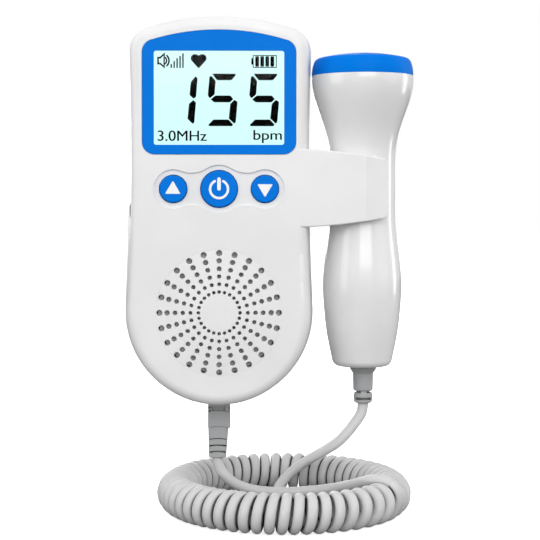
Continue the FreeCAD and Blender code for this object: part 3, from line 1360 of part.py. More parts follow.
def unit_pieces():
    return {
        "front_shell": front_shell(), "rear_shell": rear_shell(), "battery_door": battery_door(),
        "case_screws": case_screws(), "display_bezel": display_bezel(), "display_window": display_window(),
        "lcd_glass": lcd_glass(), "lcd_backlight": lcd_backlight(), "lcd_frame": lcd_frame(),
        "lcd_strip": lcd_strip(), "main_board": main_board(), "board_screws": board_screws(),
        "board_chips": board_chips(), "board_connectors": board_connectors(),
        "key_switches": key_switches(), "speaker_grille": speaker_grille(),
        "speaker_gasket": speaker_gasket(), "speaker_frame": speaker_frame(),
        "speaker_cone": speaker_cone(), "speaker_magnet": speaker_magnet(),
        "battery_cells": battery_cells(), "battery_plates": battery_plates(),
        "battery_springs": battery_springs(), "headphone_jack": headphone_jack(),
        "cord_socket": cord_socket(), "socket_board": socket_board(),
        "socket_contacts": contact_bars(0.0, CONTACT_LENGTH),
    }


def key_pieces():
    made = {}
    for name, x, radius in key_specs():
        made[name + "_button"] = key_cap(x, radius)
        made[name + "_plunger"] = key_plunger(x)
    return made


def cord_pieces():
    return {
        "plug_body": plug_body(), "plug_blades": plug_blades(0.0), "plug_boot": plug_boot(),
        "plug_lead": cord_tube(PLUG_ROUTE), "probe_lead": cord_tube(PROBE_ROUTE),
        "curly_ring": curly_ring(),
    }


def probe_pieces():
    return {
        "probe_front_shell": probe_shell(False), "probe_rear_shell": probe_shell(True),
        "probe_cap": probe_cap(), "crystal_pair": crystal_pair(), "crystal_backing": crystal_backing(),
        "probe_board": probe_board(), "probe_gland": probe_gland(),
    }


def main():
    os.makedirs("parts", exist_ok=True)
    for made in (unit_pieces(), key_pieces(), cord_pieces(), probe_pieces()):
        for name, shape in made.items():
            shape.exportStep("parts/" + name + ".step")


main()
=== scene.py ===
"""Looks of the pocket fetal doppler: hand unit, probe in its side clip, and the curly lead between them.

Everything is in metres, in the frame of the CAD model: X right, +Y to the rear, +Z up.
"""
import bpy
import bmesh
import math
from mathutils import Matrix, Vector


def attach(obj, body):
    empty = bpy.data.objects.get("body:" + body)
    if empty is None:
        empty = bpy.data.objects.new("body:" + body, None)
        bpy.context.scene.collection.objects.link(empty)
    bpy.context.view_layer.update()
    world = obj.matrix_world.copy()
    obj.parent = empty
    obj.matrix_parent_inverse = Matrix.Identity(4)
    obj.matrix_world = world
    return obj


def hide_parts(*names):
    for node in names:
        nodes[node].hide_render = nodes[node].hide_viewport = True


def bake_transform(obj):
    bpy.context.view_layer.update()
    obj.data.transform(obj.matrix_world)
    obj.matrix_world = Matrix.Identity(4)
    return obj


MM = 0.001
MERGE_WITHIN = 1e-7  # points nearer than this are one
SHARP_ABOVE = 35  # degrees between two faces that stay a crease

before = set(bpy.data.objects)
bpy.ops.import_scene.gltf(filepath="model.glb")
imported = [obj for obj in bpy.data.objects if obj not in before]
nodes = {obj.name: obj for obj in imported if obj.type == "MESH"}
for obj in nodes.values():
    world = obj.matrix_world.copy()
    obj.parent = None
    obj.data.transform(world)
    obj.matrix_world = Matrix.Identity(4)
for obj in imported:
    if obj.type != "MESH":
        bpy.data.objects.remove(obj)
bpy.context.view_layer.update()


# ---- small helpers -------------------------------------------------------------------------------


def mm(x, y, z):
    return Vector((x, y, z)) * MM


def linear(colour):
    """A colour from 0-255 sRGB to the linear values that the shaders take."""
    parts = [c / 255 for c in colour]
    return tuple(p / 12.92 if p <= 0.04045 else ((p + 0.055) / 1.055) ** 2.4 for p in parts)


def add_piece(name, mesh, material, body):
    """A finished mesh as a piece of the object that rides on a body."""
    piece = bpy.data.objects.new(name, mesh)
    bpy.context.scene.collection.objects.link(piece)
    mesh.materials.append(material)
    if body:
        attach(piece, body)
    return piece


def mesh_from(name, build, smooth=True, sharp_above=SHARP_ABOVE):
    """A mesh made by a function that fills a bmesh, with smooth faces and creases at sharp angles."""
    bm = bmesh.new()
    build(bm)
    bmesh.ops.remove_doubles(bm, verts=bm.verts, dist=MERGE_WITHIN)
    bmesh.ops.recalc_face_normals(bm, faces=bm.faces)
    mesh = bpy.data.meshes.new(name)
    bm.to_mesh(mesh)
    bm.free()
    if smooth:
        mesh.polygons.foreach_set("use_smooth", [True] * len(mesh.polygons))
        mesh.set_sharp_from_angle(angle=math.radians(sharp_above))
    return mesh


# ---- materials -----------------------------------------------------------------------------------

SLOT_SAMPLES = 8
SLOT_RANGE = (0.3, 0.75)  # the share of open view that counts as deep in a slot, and as open
PAINTED_SLOT_SHADE = 0.06  # painted shade in slots: the share of the colour kept, deep in a slot
BEVEL_SAMPLES = 4


def shaded(colour, share):
    """A darker shade of a linear colour."""
    return tuple(c * share for c in colour)


class Graph:
    """A material's node tree, with short calls for the nodes used here."""

    def __init__(self, name):
        self.material = bpy.data.materials.new(name)
        self.material.use_nodes = True
        self.tree = self.material.node_tree
        self.shader = self.tree.nodes["Principled BSDF"]
        self.place = self.node("ShaderNodeTexCoord").outputs["Object"]

    def node(self, kind, **settings):
        made = self.tree.nodes.new(kind)
        for key, value in settings.items():
            setattr(made, key, value)
        return made

    def link(self, out, socket):
        self.tree.links.new(out, socket)

    def set(self, **values):
        for key, value in values.items():
            self.shader.inputs[key.replace("_", " ")].default_value = value

    def noise(self, scale, detail=3.0, roughness=0.5):
        made = self.node("ShaderNodeTexNoise")
        made.inputs["Scale"].default_value = scale
        made.inputs["Detail"].default_value = detail
        made.inputs["Roughness"].default_value = roughness
        self.link(self.place, made.inputs["Vector"])
        return made.outputs["Fac"]

    def spread(self, value, low, high, low_in=0.3, high_in=0.7):
        made = self.node("ShaderNodeMapRange")
        self.link(value, made.inputs["Value"])
        made.inputs["From Min"].default_value = low_in
        made.inputs["From Max"].default_value = high_in
        made.inputs["To Min"].default_value = low
        made.inputs["To Max"].default_value = high
        return made.outputs["Result"]

    def mix(self, factor, first, second):
        made = self.node("ShaderNodeMix", data_type="RGBA")
        self.link(factor, made.inputs["Factor"])
        for socket, value in ((made.inputs["A"], first), (made.inputs["B"], second)):
            if isinstance(value, tuple):
                socket.default_value = (*value, 1.0)
            else:
                self.link(value, socket)
        return made.outputs["Result"]

    def slot_shade_mask(self, distance):
        """Mask for painted shade: from 0 deep in a slot of the piece itself to 1 where it is open."""
        made = self.node("ShaderNodeAmbientOcclusion", samples=SLOT_SAMPLES, only_local=True)
        made.inputs["Distance"].default_value = distance
        return self.spread(made.outputs["AO"], 0, 1, *SLOT_RANGE)

    def clouded(self, colour, share, scale, detail):
        """A linear colour with clouds of its darker shade."""
        return self.mix(self.spread(self.noise(scale, detail), 0, 1), shaded(colour, share), colour)

    def colour(self, tone):
        self.link(tone, self.shader.inputs["Base Color"])

    def roughness(self, low, high, scale, detail):
        """Roughness that wanders between two values."""
        self.link(self.spread(self.noise(scale, detail), low, high), self.shader.inputs["Roughness"])

    def bump(self, height, distance, strength=1.0, edge=0.0):
        made = self.node("ShaderNodeBump")
        made.inputs["Distance"].default_value = distance
        made.inputs["Strength"].default_value = strength
        self.link(height, made.inputs["Height"])
        if edge:
            bevel = self.node("ShaderNodeBevel", samples=BEVEL_SAMPLES)
            bevel.inputs["Radius"].default_value = edge
            self.link(bevel.outputs["Normal"], made.inputs["Normal"])
        self.link(made.outputs["Normal"], self.shader.inputs["Normal"])


def moulded(name, colour, roughness, grain=1400, depth=0.000012, edge=0.00018, vary=0.06,
            coat=0.0, shine=0.5, slot_shade_reach=0.0):
    """Moulded plastic: faint clouding of the colour, fine grain, uneven gloss and eased edges.

    The grain is a noise scale and the depth its height. Where the piece's own walls stand nearer than the
    reach given for the slot shade, the colour is painted darker: painted shade in its slots and hollows.
    """
    g = Graph(name)
    base = linear(colour)
    tone = g.clouded(base, 1 - vary, scale=45, detail=4)
    # Painted shade: the colour turns darker deep in the piece's own slots, where shade falls
    if slot_shade_reach:
        tone = g.mix(g.slot_shade_mask(slot_shade_reach), shaded(base, PAINTED_SLOT_SHADE), tone)
    g.colour(tone)
    g.roughness(roughness - 0.05, roughness + 0.05, scale=220, detail=5)
    g.set(Coat_Weight=coat, Coat_Roughness=0.08, Specular_IOR_Level=shine)
    g.bump(g.noise(grain, detail=2), depth, strength=0.5, edge=edge)
    return g.material


def metal(name, colour, roughness):
    """Plated metal with a faint mottle and fine grain."""
    g = Graph(name)
    g.colour(g.clouded(linear(colour), 0.85, scale=300, detail=6))
    g.set(Metallic=1.0)
    g.roughness(roughness - 0.08, roughness + 0.08, scale=900, detail=4)
    g.bump(g.noise(1800, detail=3), 0.00001, strength=0.4, edge=0.0001)
    return g.material


def glass(name, colour, roughness, bending):
    """Clear, coated against reflections (so a low index of refraction), with a very slight haze."""
    g = Graph(name)
    g.shader.inputs["Base Color"].default_value = (*linear(colour), 1.0)
    g.roughness(roughness, roughness + 0.02, scale=160, detail=3)
    g.set(Transmission_Weight=1.0, IOR=bending)
    g.bump(g.noise(60, detail=2), 0.000004, strength=0.3)
    return g.material


def lit_screen(name, high_colour, low_colour, strength, span):
    """The display's lit face: an even glow, a little paler towards the top of its span of Z."""
    g = Graph(name)
    split = g.node("ShaderNodeSeparateXYZ")
    g.link(g.place, split.inputs["Vector"])
    height = g.spread(split.outputs["Z"], 0, 1, *span)
    tone = g.mix(height, linear(low_colour), linear(high_colour))
    cloud = g.spread(g.noise(28, detail=2), 0, 0.03)
    g.link(g.mix(cloud, tone, linear(low_colour)), g.shader.inputs["Emission Color"])
    g.set(Emission_Strength=strength, Roughness=0.35)
    g.shader.inputs["Base Color"].default_value = (0.02, 0.02, 0.02, 1.0)
    return g.material


def ink(name, colour, shine, roughness=0.45):
    """Printed or etched marks: even colour with a faint unevenness of the print."""
    g = Graph(name)
    g.colour(g.clouded(linear(colour), 0.94, scale=900, detail=3))
    g.set(Roughness=roughness, Specular_IOR_Level=shine)
    return g.material


WHITE = (240, 240, 240)
BLUE = (0, 122, 228)
SCREEN_SPAN = (22 * MM, 54 * MM)  # the lit face's lowest and highest Z

MATERIALS = {
    "white_shell": moulded("white_shell", WHITE, 0.34),
    "probe_white": moulded("probe_white", (238, 238, 238), 0.2, coat=0.6),
    "bezel_blue": moulded("bezel_blue", BLUE, 0.42, shine=0.05),
    "key_blue": moulded("key_blue", BLUE, 0.42, shine=0.05),
    "cap_blue": moulded("cap_blue", BLUE, 0.4, shine=0.03),
    "window_clear": glass("window_clear", (250, 253, 253), 0.01, 1.12),
    "lcd": lit_screen("lcd", (214, 252, 251), (205, 252, 249), 1.06, SCREEN_SPAN),
    "diffuser": moulded("diffuser", (245, 245, 240), 0.5),
    "holder": moulded("holder", (228, 228, 224), 0.5),
    "contact_rubber": moulded("contact_rubber", (226, 158, 168), 0.7),
    "board_green": moulded("board_green", (24, 96, 58), 0.4),
    "chip_black": moulded("chip_black", (28, 28, 30), 0.5),
    "connector_white": moulded("connector_white", (236, 232, 220), 0.45),
    "screw_steel": metal("screw_steel", (176, 178, 182), 0.32),
    "switch_black": moulded("switch_black", (32, 32, 34), 0.5),
    "plunger": moulded("plunger", (60, 60, 64), 0.5),
    "basket_steel": metal("basket_steel", (150, 152, 158), 0.4),
    "magnet": metal("magnet", (92, 94, 98), 0.45),
    "cone_paper": moulded("cone_paper", (36, 34, 33), 0.85, grain=700, depth=0.00006),
    "foam": moulded("foam", (40, 40, 42), 0.95, grain=900, depth=0.0001),
    "cell": moulded("cell", (44, 62, 96), 0.3, coat=0.3),
    "contact_nickel": metal("contact_nickel", (205, 204, 198), 0.25),
    "contact_gold": metal("contact_gold", (226, 184, 96), 0.22),
    "jack_black": moulded("jack_black", (26, 26, 28), 0.4),
    "socket_grey": moulded("socket_grey", (120, 121, 124), 0.45),
    "plug_clear": moulded("plug_clear", (190, 191, 192), 0.3),
    # The boot, the cord and the gland below get painted shade in their slots
    "boot_grey": moulded("boot_grey", (165, 166, 167), 0.48, slot_shade_reach=0.0009),
    "cord_grey": moulded("cord_grey", (198, 198, 198), 0.46, grain=1100, depth=0.00002, vary=0.04,
                         slot_shade_reach=0.0017),
    "crystal": moulded("crystal", (206, 196, 168), 0.4),
    "cork": moulded("cork", (150, 112, 74), 0.9, grain=500, depth=0.0001, vary=0.3),
}

for node in nodes.values():
    for slot in node.material_slots:
        slot.material = MATERIALS[slot.material.name.split(".")[0]]
# The gland is a little lighter than the plug's boot, with painted shade in its slots
gland_grey = moulded("gland_grey", (171, 172, 173), 0.48, slot_shade_reach=0.0012)
nodes["probe_gland"].material_slots[0].material = gland_grey


# ---- cord ----------------------------------------------------------------------------------------

CORD_DIAMETER = 3.7 * MM
RING_CENTRE = mm(22.6, -15.0, -97.85)
RING_RADIUS = 37.5 * MM
HELIX_RADIUS = 4.9 * MM
POINTS_A_TURN = 16
FIRST_POINT = 1.5  # how many control points past the first turn's outer side the regular turns start
START_ANGLE = -28.5  # round the ring, in degrees, where the first turn passes the outer side
END_ANGLE = -378.0  # where the last turn leaves the ring at its foot
FOOT_TURN = -90.0  # round the ring's tube, in degrees, at its foot
PITCHES = (  # degrees round the ring for one turn, by the angle round the ring
    (-28.0, 7.6), (-38.0, 8.3), (-50.0, 8.2), (-60.0, 7.3), (-70.0, 6.5), (-90.0, 5.95), (-135.0, 6.1),
    (-180.0, 6.5), (-225.0, 6.5), (-270.0, 6.5), (-320.0, 6.5), (-350.0, 7.0), (-365.0, 8.6),
    (-378.0, 10.5),
)
CURVE_ORDER = 3
LEAD_SMOOTHNESS = 10  # points that the curve makes of one control point
COIL_SMOOTHNESS = 3
COIL_SIDES = 4  # the curve's bevel resolution
LEAD_SIDES = 20

# The leads' control points and the coil's first turn, in millimetres
PLUG_ROUTE = (
    (-0.6, -15.0, -85.7), (-0.6, -15.0, -88.2), (1.9, -15.0, -92.8), (6.6, -14.6, -96.2),
    (13.4, -13.6, -98.4), (22.0, -12.6, -99.0), (31.0, -12.8, -98.6), (39.3, -16.4, -97.0),
    (45.8, -23.4, -94.2), (51.0, -29.6, -91.4), (54.6, -33.0, -90.5), (57.0, -35.2, -90.8),
    (57.9, -35.9, -91.5),
)
FIRST_TURN = ((58.8, -36.6, -92.2), (60.0, -36.9, -94.6), (60.4, -36.5, -97.4))
PROBE_ROUTE = (
    (50.25, -15.0, -66.9), (50.25, -15.0, -70.0), (48.0, -13.2, -73.9), (45.6, -9.0, -78.2),
    (42.4, -2.6, -83.2), (37.4, 5.2, -87.8), (31.8, 10.6, -92.2), (26.0, 10.8, -96.4), (22.2, 7.2, -99.9),
    (20.4, 0.6, -102.4), (20.8, -7.6, -102.75), (25.0, -16.0, -102.7), (32.8, -22.8, -102.75),
    (41.0, -27.2, -102.75), (49.4, -28.4, -102.75),
)


def spline_curve(name, points, smoothness):
    """A curve of one NURBS spline; it stays inside the hull of its control points."""
    curve = bpy.data.curves.new(name, "CURVE")
    curve.dimensions = "3D"
    curve.resolution_u = smoothness
    spline = curve.splines.new("NURBS")
    spline.points.add(len(points) - 1)
    for slot, point in zip(spline.points, points):
        slot.co = (*point, 1.0)
    spline.order_u = CURVE_ORDER
    spline.use_endpoint_u = True
    return curve


def traced(route):
    """Points read along the NURBS spline of a route."""
    points = [mm(*p) for p in route]
    holder = bpy.data.objects.new("trace", spline_curve("trace", points, LEAD_SMOOTHNESS))
    bpy.context.scene.collection.objects.link(holder)
    bpy.context.view_layer.update()
    mesh = bpy.data.meshes.new_from_object(holder)
    line = [v.co.copy() for v in mesh.vertices]
    bpy.data.objects.remove(holder)
    bpy.data.meshes.remove(mesh)
    return line


def tube_mesh(name, line, radius, sides=LEAD_SIDES):
    """A round tube swept along a line without twisting, closed at its ends."""
    def build(bm):
        across = (line[1] - line[0]).orthogonal().normalized()
        rings = []
        for i, point in enumerate(line):
            along = (line[min(i + 1, len(line) - 1)] - line[max(i - 1, 0)]).normalized()
            across = (across - along * across.dot(along)).normalized()
            third = along.cross(across)
            ring = []
            for k in range(sides):
                turn = 2 * math.pi * k / sides
                outward = across * math.cos(turn) + third * math.sin(turn)
                ring.append(bm.verts.new(point + radius * outward))
            rings.append(ring)
        for low, high in zip(rings, rings[1:]):
            for k in range(sides):
                bm.faces.new((low[k], low[(k + 1) % sides], high[(k + 1) % sides], high[k]))
        bm.faces.new(rings[0][::-1])
        bm.faces.new(rings[-1])
    return mesh_from(name, build)


def ring_point(round_ring, round_tube, tube_radius):
    """A point on a circle round the ring's tube; both turns in degrees."""
    a = math.radians(round_ring)
    b = math.radians(round_tube)
    outward = Vector((math.cos(a), math.sin(a), 0.0))
    upward = Vector((0, 0, tube_radius * math.sin(b)))
    return RING_CENTRE + outward * (RING_RADIUS + tube_radius * math.cos(b)) + upward


def pitch_at(angle):
    """The degrees round the ring that one turn takes at an angle, between the values of PITCHES."""
    for (a, low), (b, high) in zip(PITCHES, PITCHES[1:]):
        if angle >= b:
            share = min(1.0, (a - angle) / (a - b)) if angle < a else 0.0
            return low + (high - low) * share
    return PITCHES[-1][1]


def helix_points(first, last):
    """The curly part's control points, from the plug's lead to the probe's."""
    hull = HELIX_RADIUS / math.cos(math.pi / POINTS_A_TURN)
    step = 360.0 / POINTS_A_TURN
    points = [first] + [mm(*p) for p in FIRST_TURN]
    turned = -FIRST_POINT * step
    angle = START_ANGLE - FIRST_POINT / POINTS_A_TURN * pitch_at(START_ANGLE)
    while angle > END_ANGLE or (turned - FOOT_TURN) % 360.0 > step / 2:
        points.append(ring_point(angle, turned, hull))
        turned -= step
        angle -= pitch_at(angle) / POINTS_A_TURN
    return points + [last]


def make_cords():
    plug_line = traced(PLUG_ROUTE)
    probe_line = traced(PROBE_ROUTE)
    grey = MATERIALS["cord_grey"]
    coil = helix_points(plug_line[-1], probe_line[-1])
    curly = bpy.data.objects.new("curly_cord", spline_curve("curly_cord", coil, COIL_SMOOTHNESS))
    bpy.context.scene.collection.objects.link(curly)
    curly.data.bevel_depth = CORD_DIAMETER / 2
    curly.data.bevel_resolution = COIL_SIDES
    curly.data.use_fill_caps = True
    curly.data.materials.append(grey)
    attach(curly, "unit")
    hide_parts("curly_ring")
    plug_tube = tube_mesh("plug_cord", plug_line, CORD_DIAMETER / 2)
    plug_lead = add_piece("plug_cord", plug_tube, grey, None)
    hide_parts("plug_lead")
    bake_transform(plug_lead)
    probe_tube = tube_mesh("probe_cord", probe_line, CORD_DIAMETER / 2)
    probe_lead = add_piece("probe_cord", probe_tube, grey, None)
    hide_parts("probe_lead")
    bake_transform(probe_lead)


make_cords()


# ---- loudspeaker grille --------------------------------------------------------------------------

# In millimetres; depths are Y values
GRILLE_X = 0.0
GRILLE_Z = -34.4
GRILLE_RADIUS = 21.44
GRILLE_FRONT = -30.0
GRILLE_DOME = 0.5
GRILLE_BACK = -27.0
GRILLE_FLANGE = (23.2, -28.0)  # radius, and the Y of its front
# The radius of each ring of holes, and the radius of its holes
GRILLE_RINGS = ((20.2, 1.02), (17.6, 0.91), (14.9, 0.81), (12.3, 0.73), (9.7, 0.66), (7.05, 0.59))
GRILLE_EDGES = (GRILLE_RADIUS, 18.9, 16.25, 13.6, 11.0, 8.375, 5.75)  # round and between those rings
GRILLE_MIDDLE = (4.0, 2.0)  # radii of the loops inside the last edge
SPOKES = 24
SIDE_STEPS = 6  # of one side of a hole's cell
CELL_CORNER = -135.0  # the way from a hole to the first corner of its cell, in degrees
HOLE_EDGE = 0.09  # the width and depth of a hole's eased edge
GRILLE_SHARP = 30  # degrees
CLOTH_RADIUS = 20.8  # inside the loudspeaker's gasket
CLOTH_DEPTH = (-26.98, -26.9)


def grille_place(radius, turn, y):
    return mm(GRILLE_X + radius * math.sin(turn), y, GRILLE_Z + radius * math.cos(turn))


def dome_y(radius):
    """The Y of the grille's front at a distance from its axis."""
    return GRILLE_FRONT - GRILLE_DOME * (1 - (radius / GRILLE_RADIUS) ** 2)


def cell_border(inner, outer, turn):
    """The radius and turn of points round one hole's cell."""
    half = math.pi / SPOKES
    steps = [i / SIDE_STEPS for i in range(SIDE_STEPS)]
    border = [(inner, turn + half * (2 * s - 1)) for s in steps]
    border += [(inner + (outer - inner) * s, turn + half) for s in steps]
    border += [(outer, turn - half * (2 * s - 1)) for s in steps]
    return border + [(outer + (inner - outer) * s, turn - half) for s in steps]


def hole_rim(ring_radius, turn, radius):
    """Points round a hole, each facing its point of the cell's border; as radius and turn."""
    rim = []
    count = 4 * SIDE_STEPS
    for k in range(count):
        way = math.radians(CELL_CORNER + 360.0 * k / count)
        out = ring_radius + radius * math.sin(way)
        aside = radius * math.cos(way)
        rim.append((math.hypot(out, aside), turn + math.atan2(aside, out)))
    return rim


def strip(bm, low, high):
    """Quads between two closed loops of points."""
    a = [bm.verts.new(p) for p in low]
    b = [bm.verts.new(p) for p in high]
    for i in range(len(a)):
        j = (i + 1) % len(a)
        bm.faces.new((a[i], a[j], b[j], b[i]))


def circle(radius, y):
    """Points round the grille's axis, in step with the borders of the cells."""
    count = SPOKES * SIDE_STEPS
    turns = [2 * math.pi * (i / count) - math.pi / SPOKES for i in range(count)]
    return [grille_place(radius, turn, y) for turn in turns]


def build_grille(bm):
    """A domed disc with its holes cut through, and a flange behind."""
    for k, (ring_radius, hole) in enumerate(GRILLE_RINGS):
        for i in range(SPOKES):
            turn = 2 * math.pi * i / SPOKES
            border = cell_border(GRILLE_EDGES[k + 1], GRILLE_EDGES[k], turn)
            eased = hole_rim(ring_radius, turn, hole + HOLE_EDGE)
            rim = hole_rim(ring_radius, turn, hole)
            loops = [
                [grille_place(r, t, dome_y(r)) for r, t in border],
                [grille_place(r, t, dome_y(r)) for r, t in eased],
                [grille_place(r, t, dome_y(r) + HOLE_EDGE) for r, t in rim],
                [grille_place(r, t, GRILLE_BACK) for r, t in rim],
                [grille_place(r, t, GRILLE_BACK) for r, t in border],
            ]
            for low, high in zip(loops, loops[1:]):
                strip(bm, low, high)
    inner = (GRILLE_EDGES[-1],) + GRILLE_MIDDLE
    for face_y in (dome_y, lambda r: GRILLE_BACK):
        for outer, nearer in zip(inner, inner[1:]):
            strip(bm, circle(outer, face_y(outer)), circle(nearer, face_y(nearer)))
        last = [bm.verts.new(p) for p in circle(inner[-1], face_y(inner[-1]))]
        middle = bm.verts.new(grille_place(0.0, 0.0, face_y(0.0)))
        for i in range(len(last)):
            bm.faces.new((last[i], last[(i + 1) % len(last)], middle))
    flange, flange_y = GRILLE_FLANGE
    side = [(GRILLE_RADIUS, GRILLE_FRONT), (GRILLE_RADIUS, flange_y), (flange, flange_y),
            (flange, GRILLE_BACK), (GRILLE_RADIUS, GRILLE_BACK)]
    for low, high in zip(side, side[1:]):
        strip(bm, circle(*low), circle(*high))


def build_cloth(bm):
    """A thin disc behind the holes."""
    front, back = CLOTH_DEPTH
    strip(bm, circle(CLOTH_RADIUS, front), circle(CLOTH_RADIUS, back))
    for y in CLOTH_DEPTH:
        bm.faces.new([bm.verts.new(p) for p in circle(CLOTH_RADIUS, y)])


def make_grille():
    cloth = moulded("grille_cloth", (204, 204, 206), 0.9, grain=2600, depth=0.00005, vary=0.15)
    add_piece("grille_cloth", mesh_from("grille_cloth", build_cloth), cloth, "unit")
    mesh = mesh_from("grille", build_grille, sharp_above=GRILLE_SHARP)
    grille = add_piece("grille", mesh, MATERIALS["white_shell"], "unit")
    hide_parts("speaker_grille")


make_grille()


# ---- what the display shows, and the marks on the keys -------------------------------------------

# In millimetres; depths are the Y of a mark's front and back
SCREEN_DEPTH = (-28.16, -28.1)  # between the window and the display's glass
SCREEN_Z = 38.25
KEY_DEPTH = (-30.38, -30.345)
KEY_Z = 7.5
KEY_PITCH = 15.5
ROUND_END = (30, 60, 82)  # angles of the points that round the end of a stroke
SHORTEST_MITRE = 0.5  # limits how far the corner of a stroke reaches out


def slab(bm, outline, depth):
    """A thin plate from an outline of (X, Z) in millimetres."""
    front = [bm.verts.new(mm(x, depth[0], z)) for x, z in outline]
    back = [bm.verts.new(mm(x, depth[1], z)) for x, z in outline]
    bm.faces.new(front)
    bm.faces.new(back[::-1])
    for i in range(len(outline)):
        j = (i + 1) % len(outline)
        bm.faces.new((front[i], back[i], back[j], front[j]))


def stroke(bm, points, width, depth, closed=False):
    """A line of even width through (X, Z) points in millimetres; an open one has round ends."""
    line = [(Vector(p), 1.0) for p in points]
    if not closed:
        for end, before in ((0, 1), (-1, -2)):
            way = (line[end][0] - line[before][0]).normalized()
            turns = [math.radians(t) for t in ROUND_END]
            tips = [(line[end][0] + way * (width / 2 * math.sin(t)), math.cos(t)) for t in turns]
            line = tips[::-1] + line if end == 0 else line + tips
    count = len(line)
    rows = []
    for i, (point, share) in enumerate(line):
        before = line[i - 1][0] if i or closed else point
        after = line[(i + 1) % count][0] if i < count - 1 or closed else point
        inward = (point - before).normalized() if point != before else (after - point).normalized()
        outward = (after - point).normalized() if point != after else inward
        along = (inward + outward).normalized()
        reach = width / 2 * share / max(SHORTEST_MITRE, along.dot(outward))
        side = Vector((-along.y, along.x)) * reach
        rows.append([bm.verts.new(mm(q.x, y, q.y)) for q in (point + side, point - side) for y in depth])
    spans = list(zip(rows, rows[1:])) + ([(rows[-1], rows[0])] if closed else [])
    for a, b in spans:
        for i, j in ((0, 1), (1, 3), (3, 2), (2, 0)):
            bm.faces.new((a[i], a[j], b[j], b[i]))
    if not closed:
        for row in (rows[0], rows[-1]):
            bm.faces.new((row[0], row[1], row[3], row[2]))


def arc(x, z, radius, start, end, steps=24):
    """Points on a circle in the XZ plane; angles in degrees from +X towards +Z."""
    turns = [math.radians(start + (end - start) * i / steps) for i in range(steps + 1)]
    return [(x + radius * math.cos(t), z + radius * math.sin(t)) for t in turns]


def lettering(bm, words, x, z, depth):
    """Words as thin plates that fill a range of X and of Z in millimetres."""
    text = bpy.data.curves.new("words", "FONT")
    text.body = words
    text.extrude = 0.5  # any thickness; it is stretched to the depth
    holder = bpy.data.objects.new("words", text)
    bpy.context.scene.collection.objects.link(holder)
    bpy.context.view_layer.update()
    mesh = bpy.data.meshes.new_from_object(holder)
    places = [v.co.copy() for v in mesh.vertices]
    spans = [(min(p[i] for p in places), max(p[i] for p in places)) for i in range(3)]
    goals = (x, z, depth[::-1])  # for the text's own X, Y and Z
    verts = []
    for p in places:
        at = [goal[0] + (goal[1] - goal[0]) * (value - a) / (b - a)
              for value, (a, b), goal in zip(p, spans, goals)]
        verts.append(bm.verts.new(mm(at[0], at[2], at[1])))
    for face in mesh.polygons:
        bm.faces.new([verts[i] for i in face.vertices])
    bpy.data.objects.remove(holder)
    bpy.data.meshes.remove(mesh)


# Segments of the display's digits, in millimetres from the screen's centre
FIVE = (
    ((-2.33, 8.14), (-1.98, 8.24), (5.42, 8.24), (5.72, 7.84), (4.17, 6.02), (-0.63, 6.02)),
    ((-2.95, 7.42), (-2.5, 7.42), (-1.14, 5.79), (-1.53, 1.22), (-2.93, 0.03), (-3.3, 0.12),
     (-3.82, 0.98), (-3.29, 6.98)),
    ((-2.87, -0.42), (-1.29, 0.86), (3.78, 0.86), (4.82, -0.33), (3.72, -1.43), (-1.68, -1.43)),
    ((5.18, -0.57), (6.25, -1.28), (5.66, -8.08), (5.12, -8.68), (3.27, -6.89), (3.78, -1.97)),
    ((3.18, -7.25), (4.73, -8.92), (4.37, -9.48), (-3.38, -9.48), (-3.68, -9.06), (-1.89, -7.25)),
)
ONE = (
    ((-7.94, 7.34), (-7.25, 6.59), (-7.79, 0.36), (-8.66, -0.18), (-10.0, 1.07), (-9.55, 5.4)),
    ((-8.75, -0.69), (-7.82, -1.52), (-8.39, -8.32), (-8.95, -8.68), (-10.68, -7.04), (-10.18, -1.97)),
)
DIGIT_STEP = 14.05

# The display's signs, in millimetres from the screen's centre; a block is X from low to high, then Z
HORN = ((-20.6, 11.6), (-19.9, 11.6), (-18.55, 10.45), (-18.55, 14.85), (-19.9, 13.6), (-20.6, 13.6))
HORN_LINE = 0.58
SOUND_CENTRE = (-19.3, 12.6)
SOUND_ARCS = ((1.55, 42, 12, 0.5), (2.4, 46, 16, 0.56))  # radius, half the angle, steps, width
SIGNAL_START = -16.15
SIGNAL_STEP = 0.99
SIGNAL_HALF = 0.25
SIGNAL_FOOT = 10.15
SIGNAL_TOPS = (11.5, 12.5, 13.45, 14.2, 15.05)
HEART = (-6.9, 12.4, 2.66, 2.42)  # centre, half the width, half the height
HEART_LOBE = 0.54  # radius, of half the width
HEART_ARC = (205, 33, 14)  # from and to angle, steps
HEART_NOTCH = 0.46  # depth, of the lobe's radius
CELL_CASE = (11.55, 19.35, 10.35, 14.4)
CELL_CASE_LINE = 0.3
CELL_NUB = (10.9, 11.45, 11.3, 13.5)
CELL_BAR = (12.25, 13.51, 10.65, 14.1)
CELL_BARS = 4
CELL_BAR_STEP = 1.71
WORDS = (("3.0MHz", (-20.8, -4.3), (-14.5, -10.95)), ("bpm", (11.6, 21.15), (-15.2, -10.75)))
BOLD_LAYERS = ((0.0, 0.0), (0.13, 0.01))  # sideways shift, and how much thinner at each face


def raised(points):
    return [(x, z + SCREEN_Z) for x, z in points]


def block(x_low, x_high, z_low, z_high):
    return (x_low, z_low), (x_high, z_low), (x_high, z_high), (x_low, z_high)


def build_digits(bm):
    for outline in ONE + FIVE:
        slab(bm, raised(outline), SCREEN_DEPTH)
    for outline in FIVE:
        slab(bm, raised([(x + DIGIT_STEP, z) for x, z in outline]), SCREEN_DEPTH)


def heart(x, z, half, high):
    """The outline of a heart: two round lobes over a point."""
    lobe = half * HEART_LOBE
    left = [(x, z - high)] + arc(x - half + lobe, z + high - lobe, lobe, *HEART_ARC)
    mirror = [(2 * x - a, b) for a, b in left[1:]][::-1]
    return left + [(x, z + high - HEART_NOTCH * lobe)] + mirror


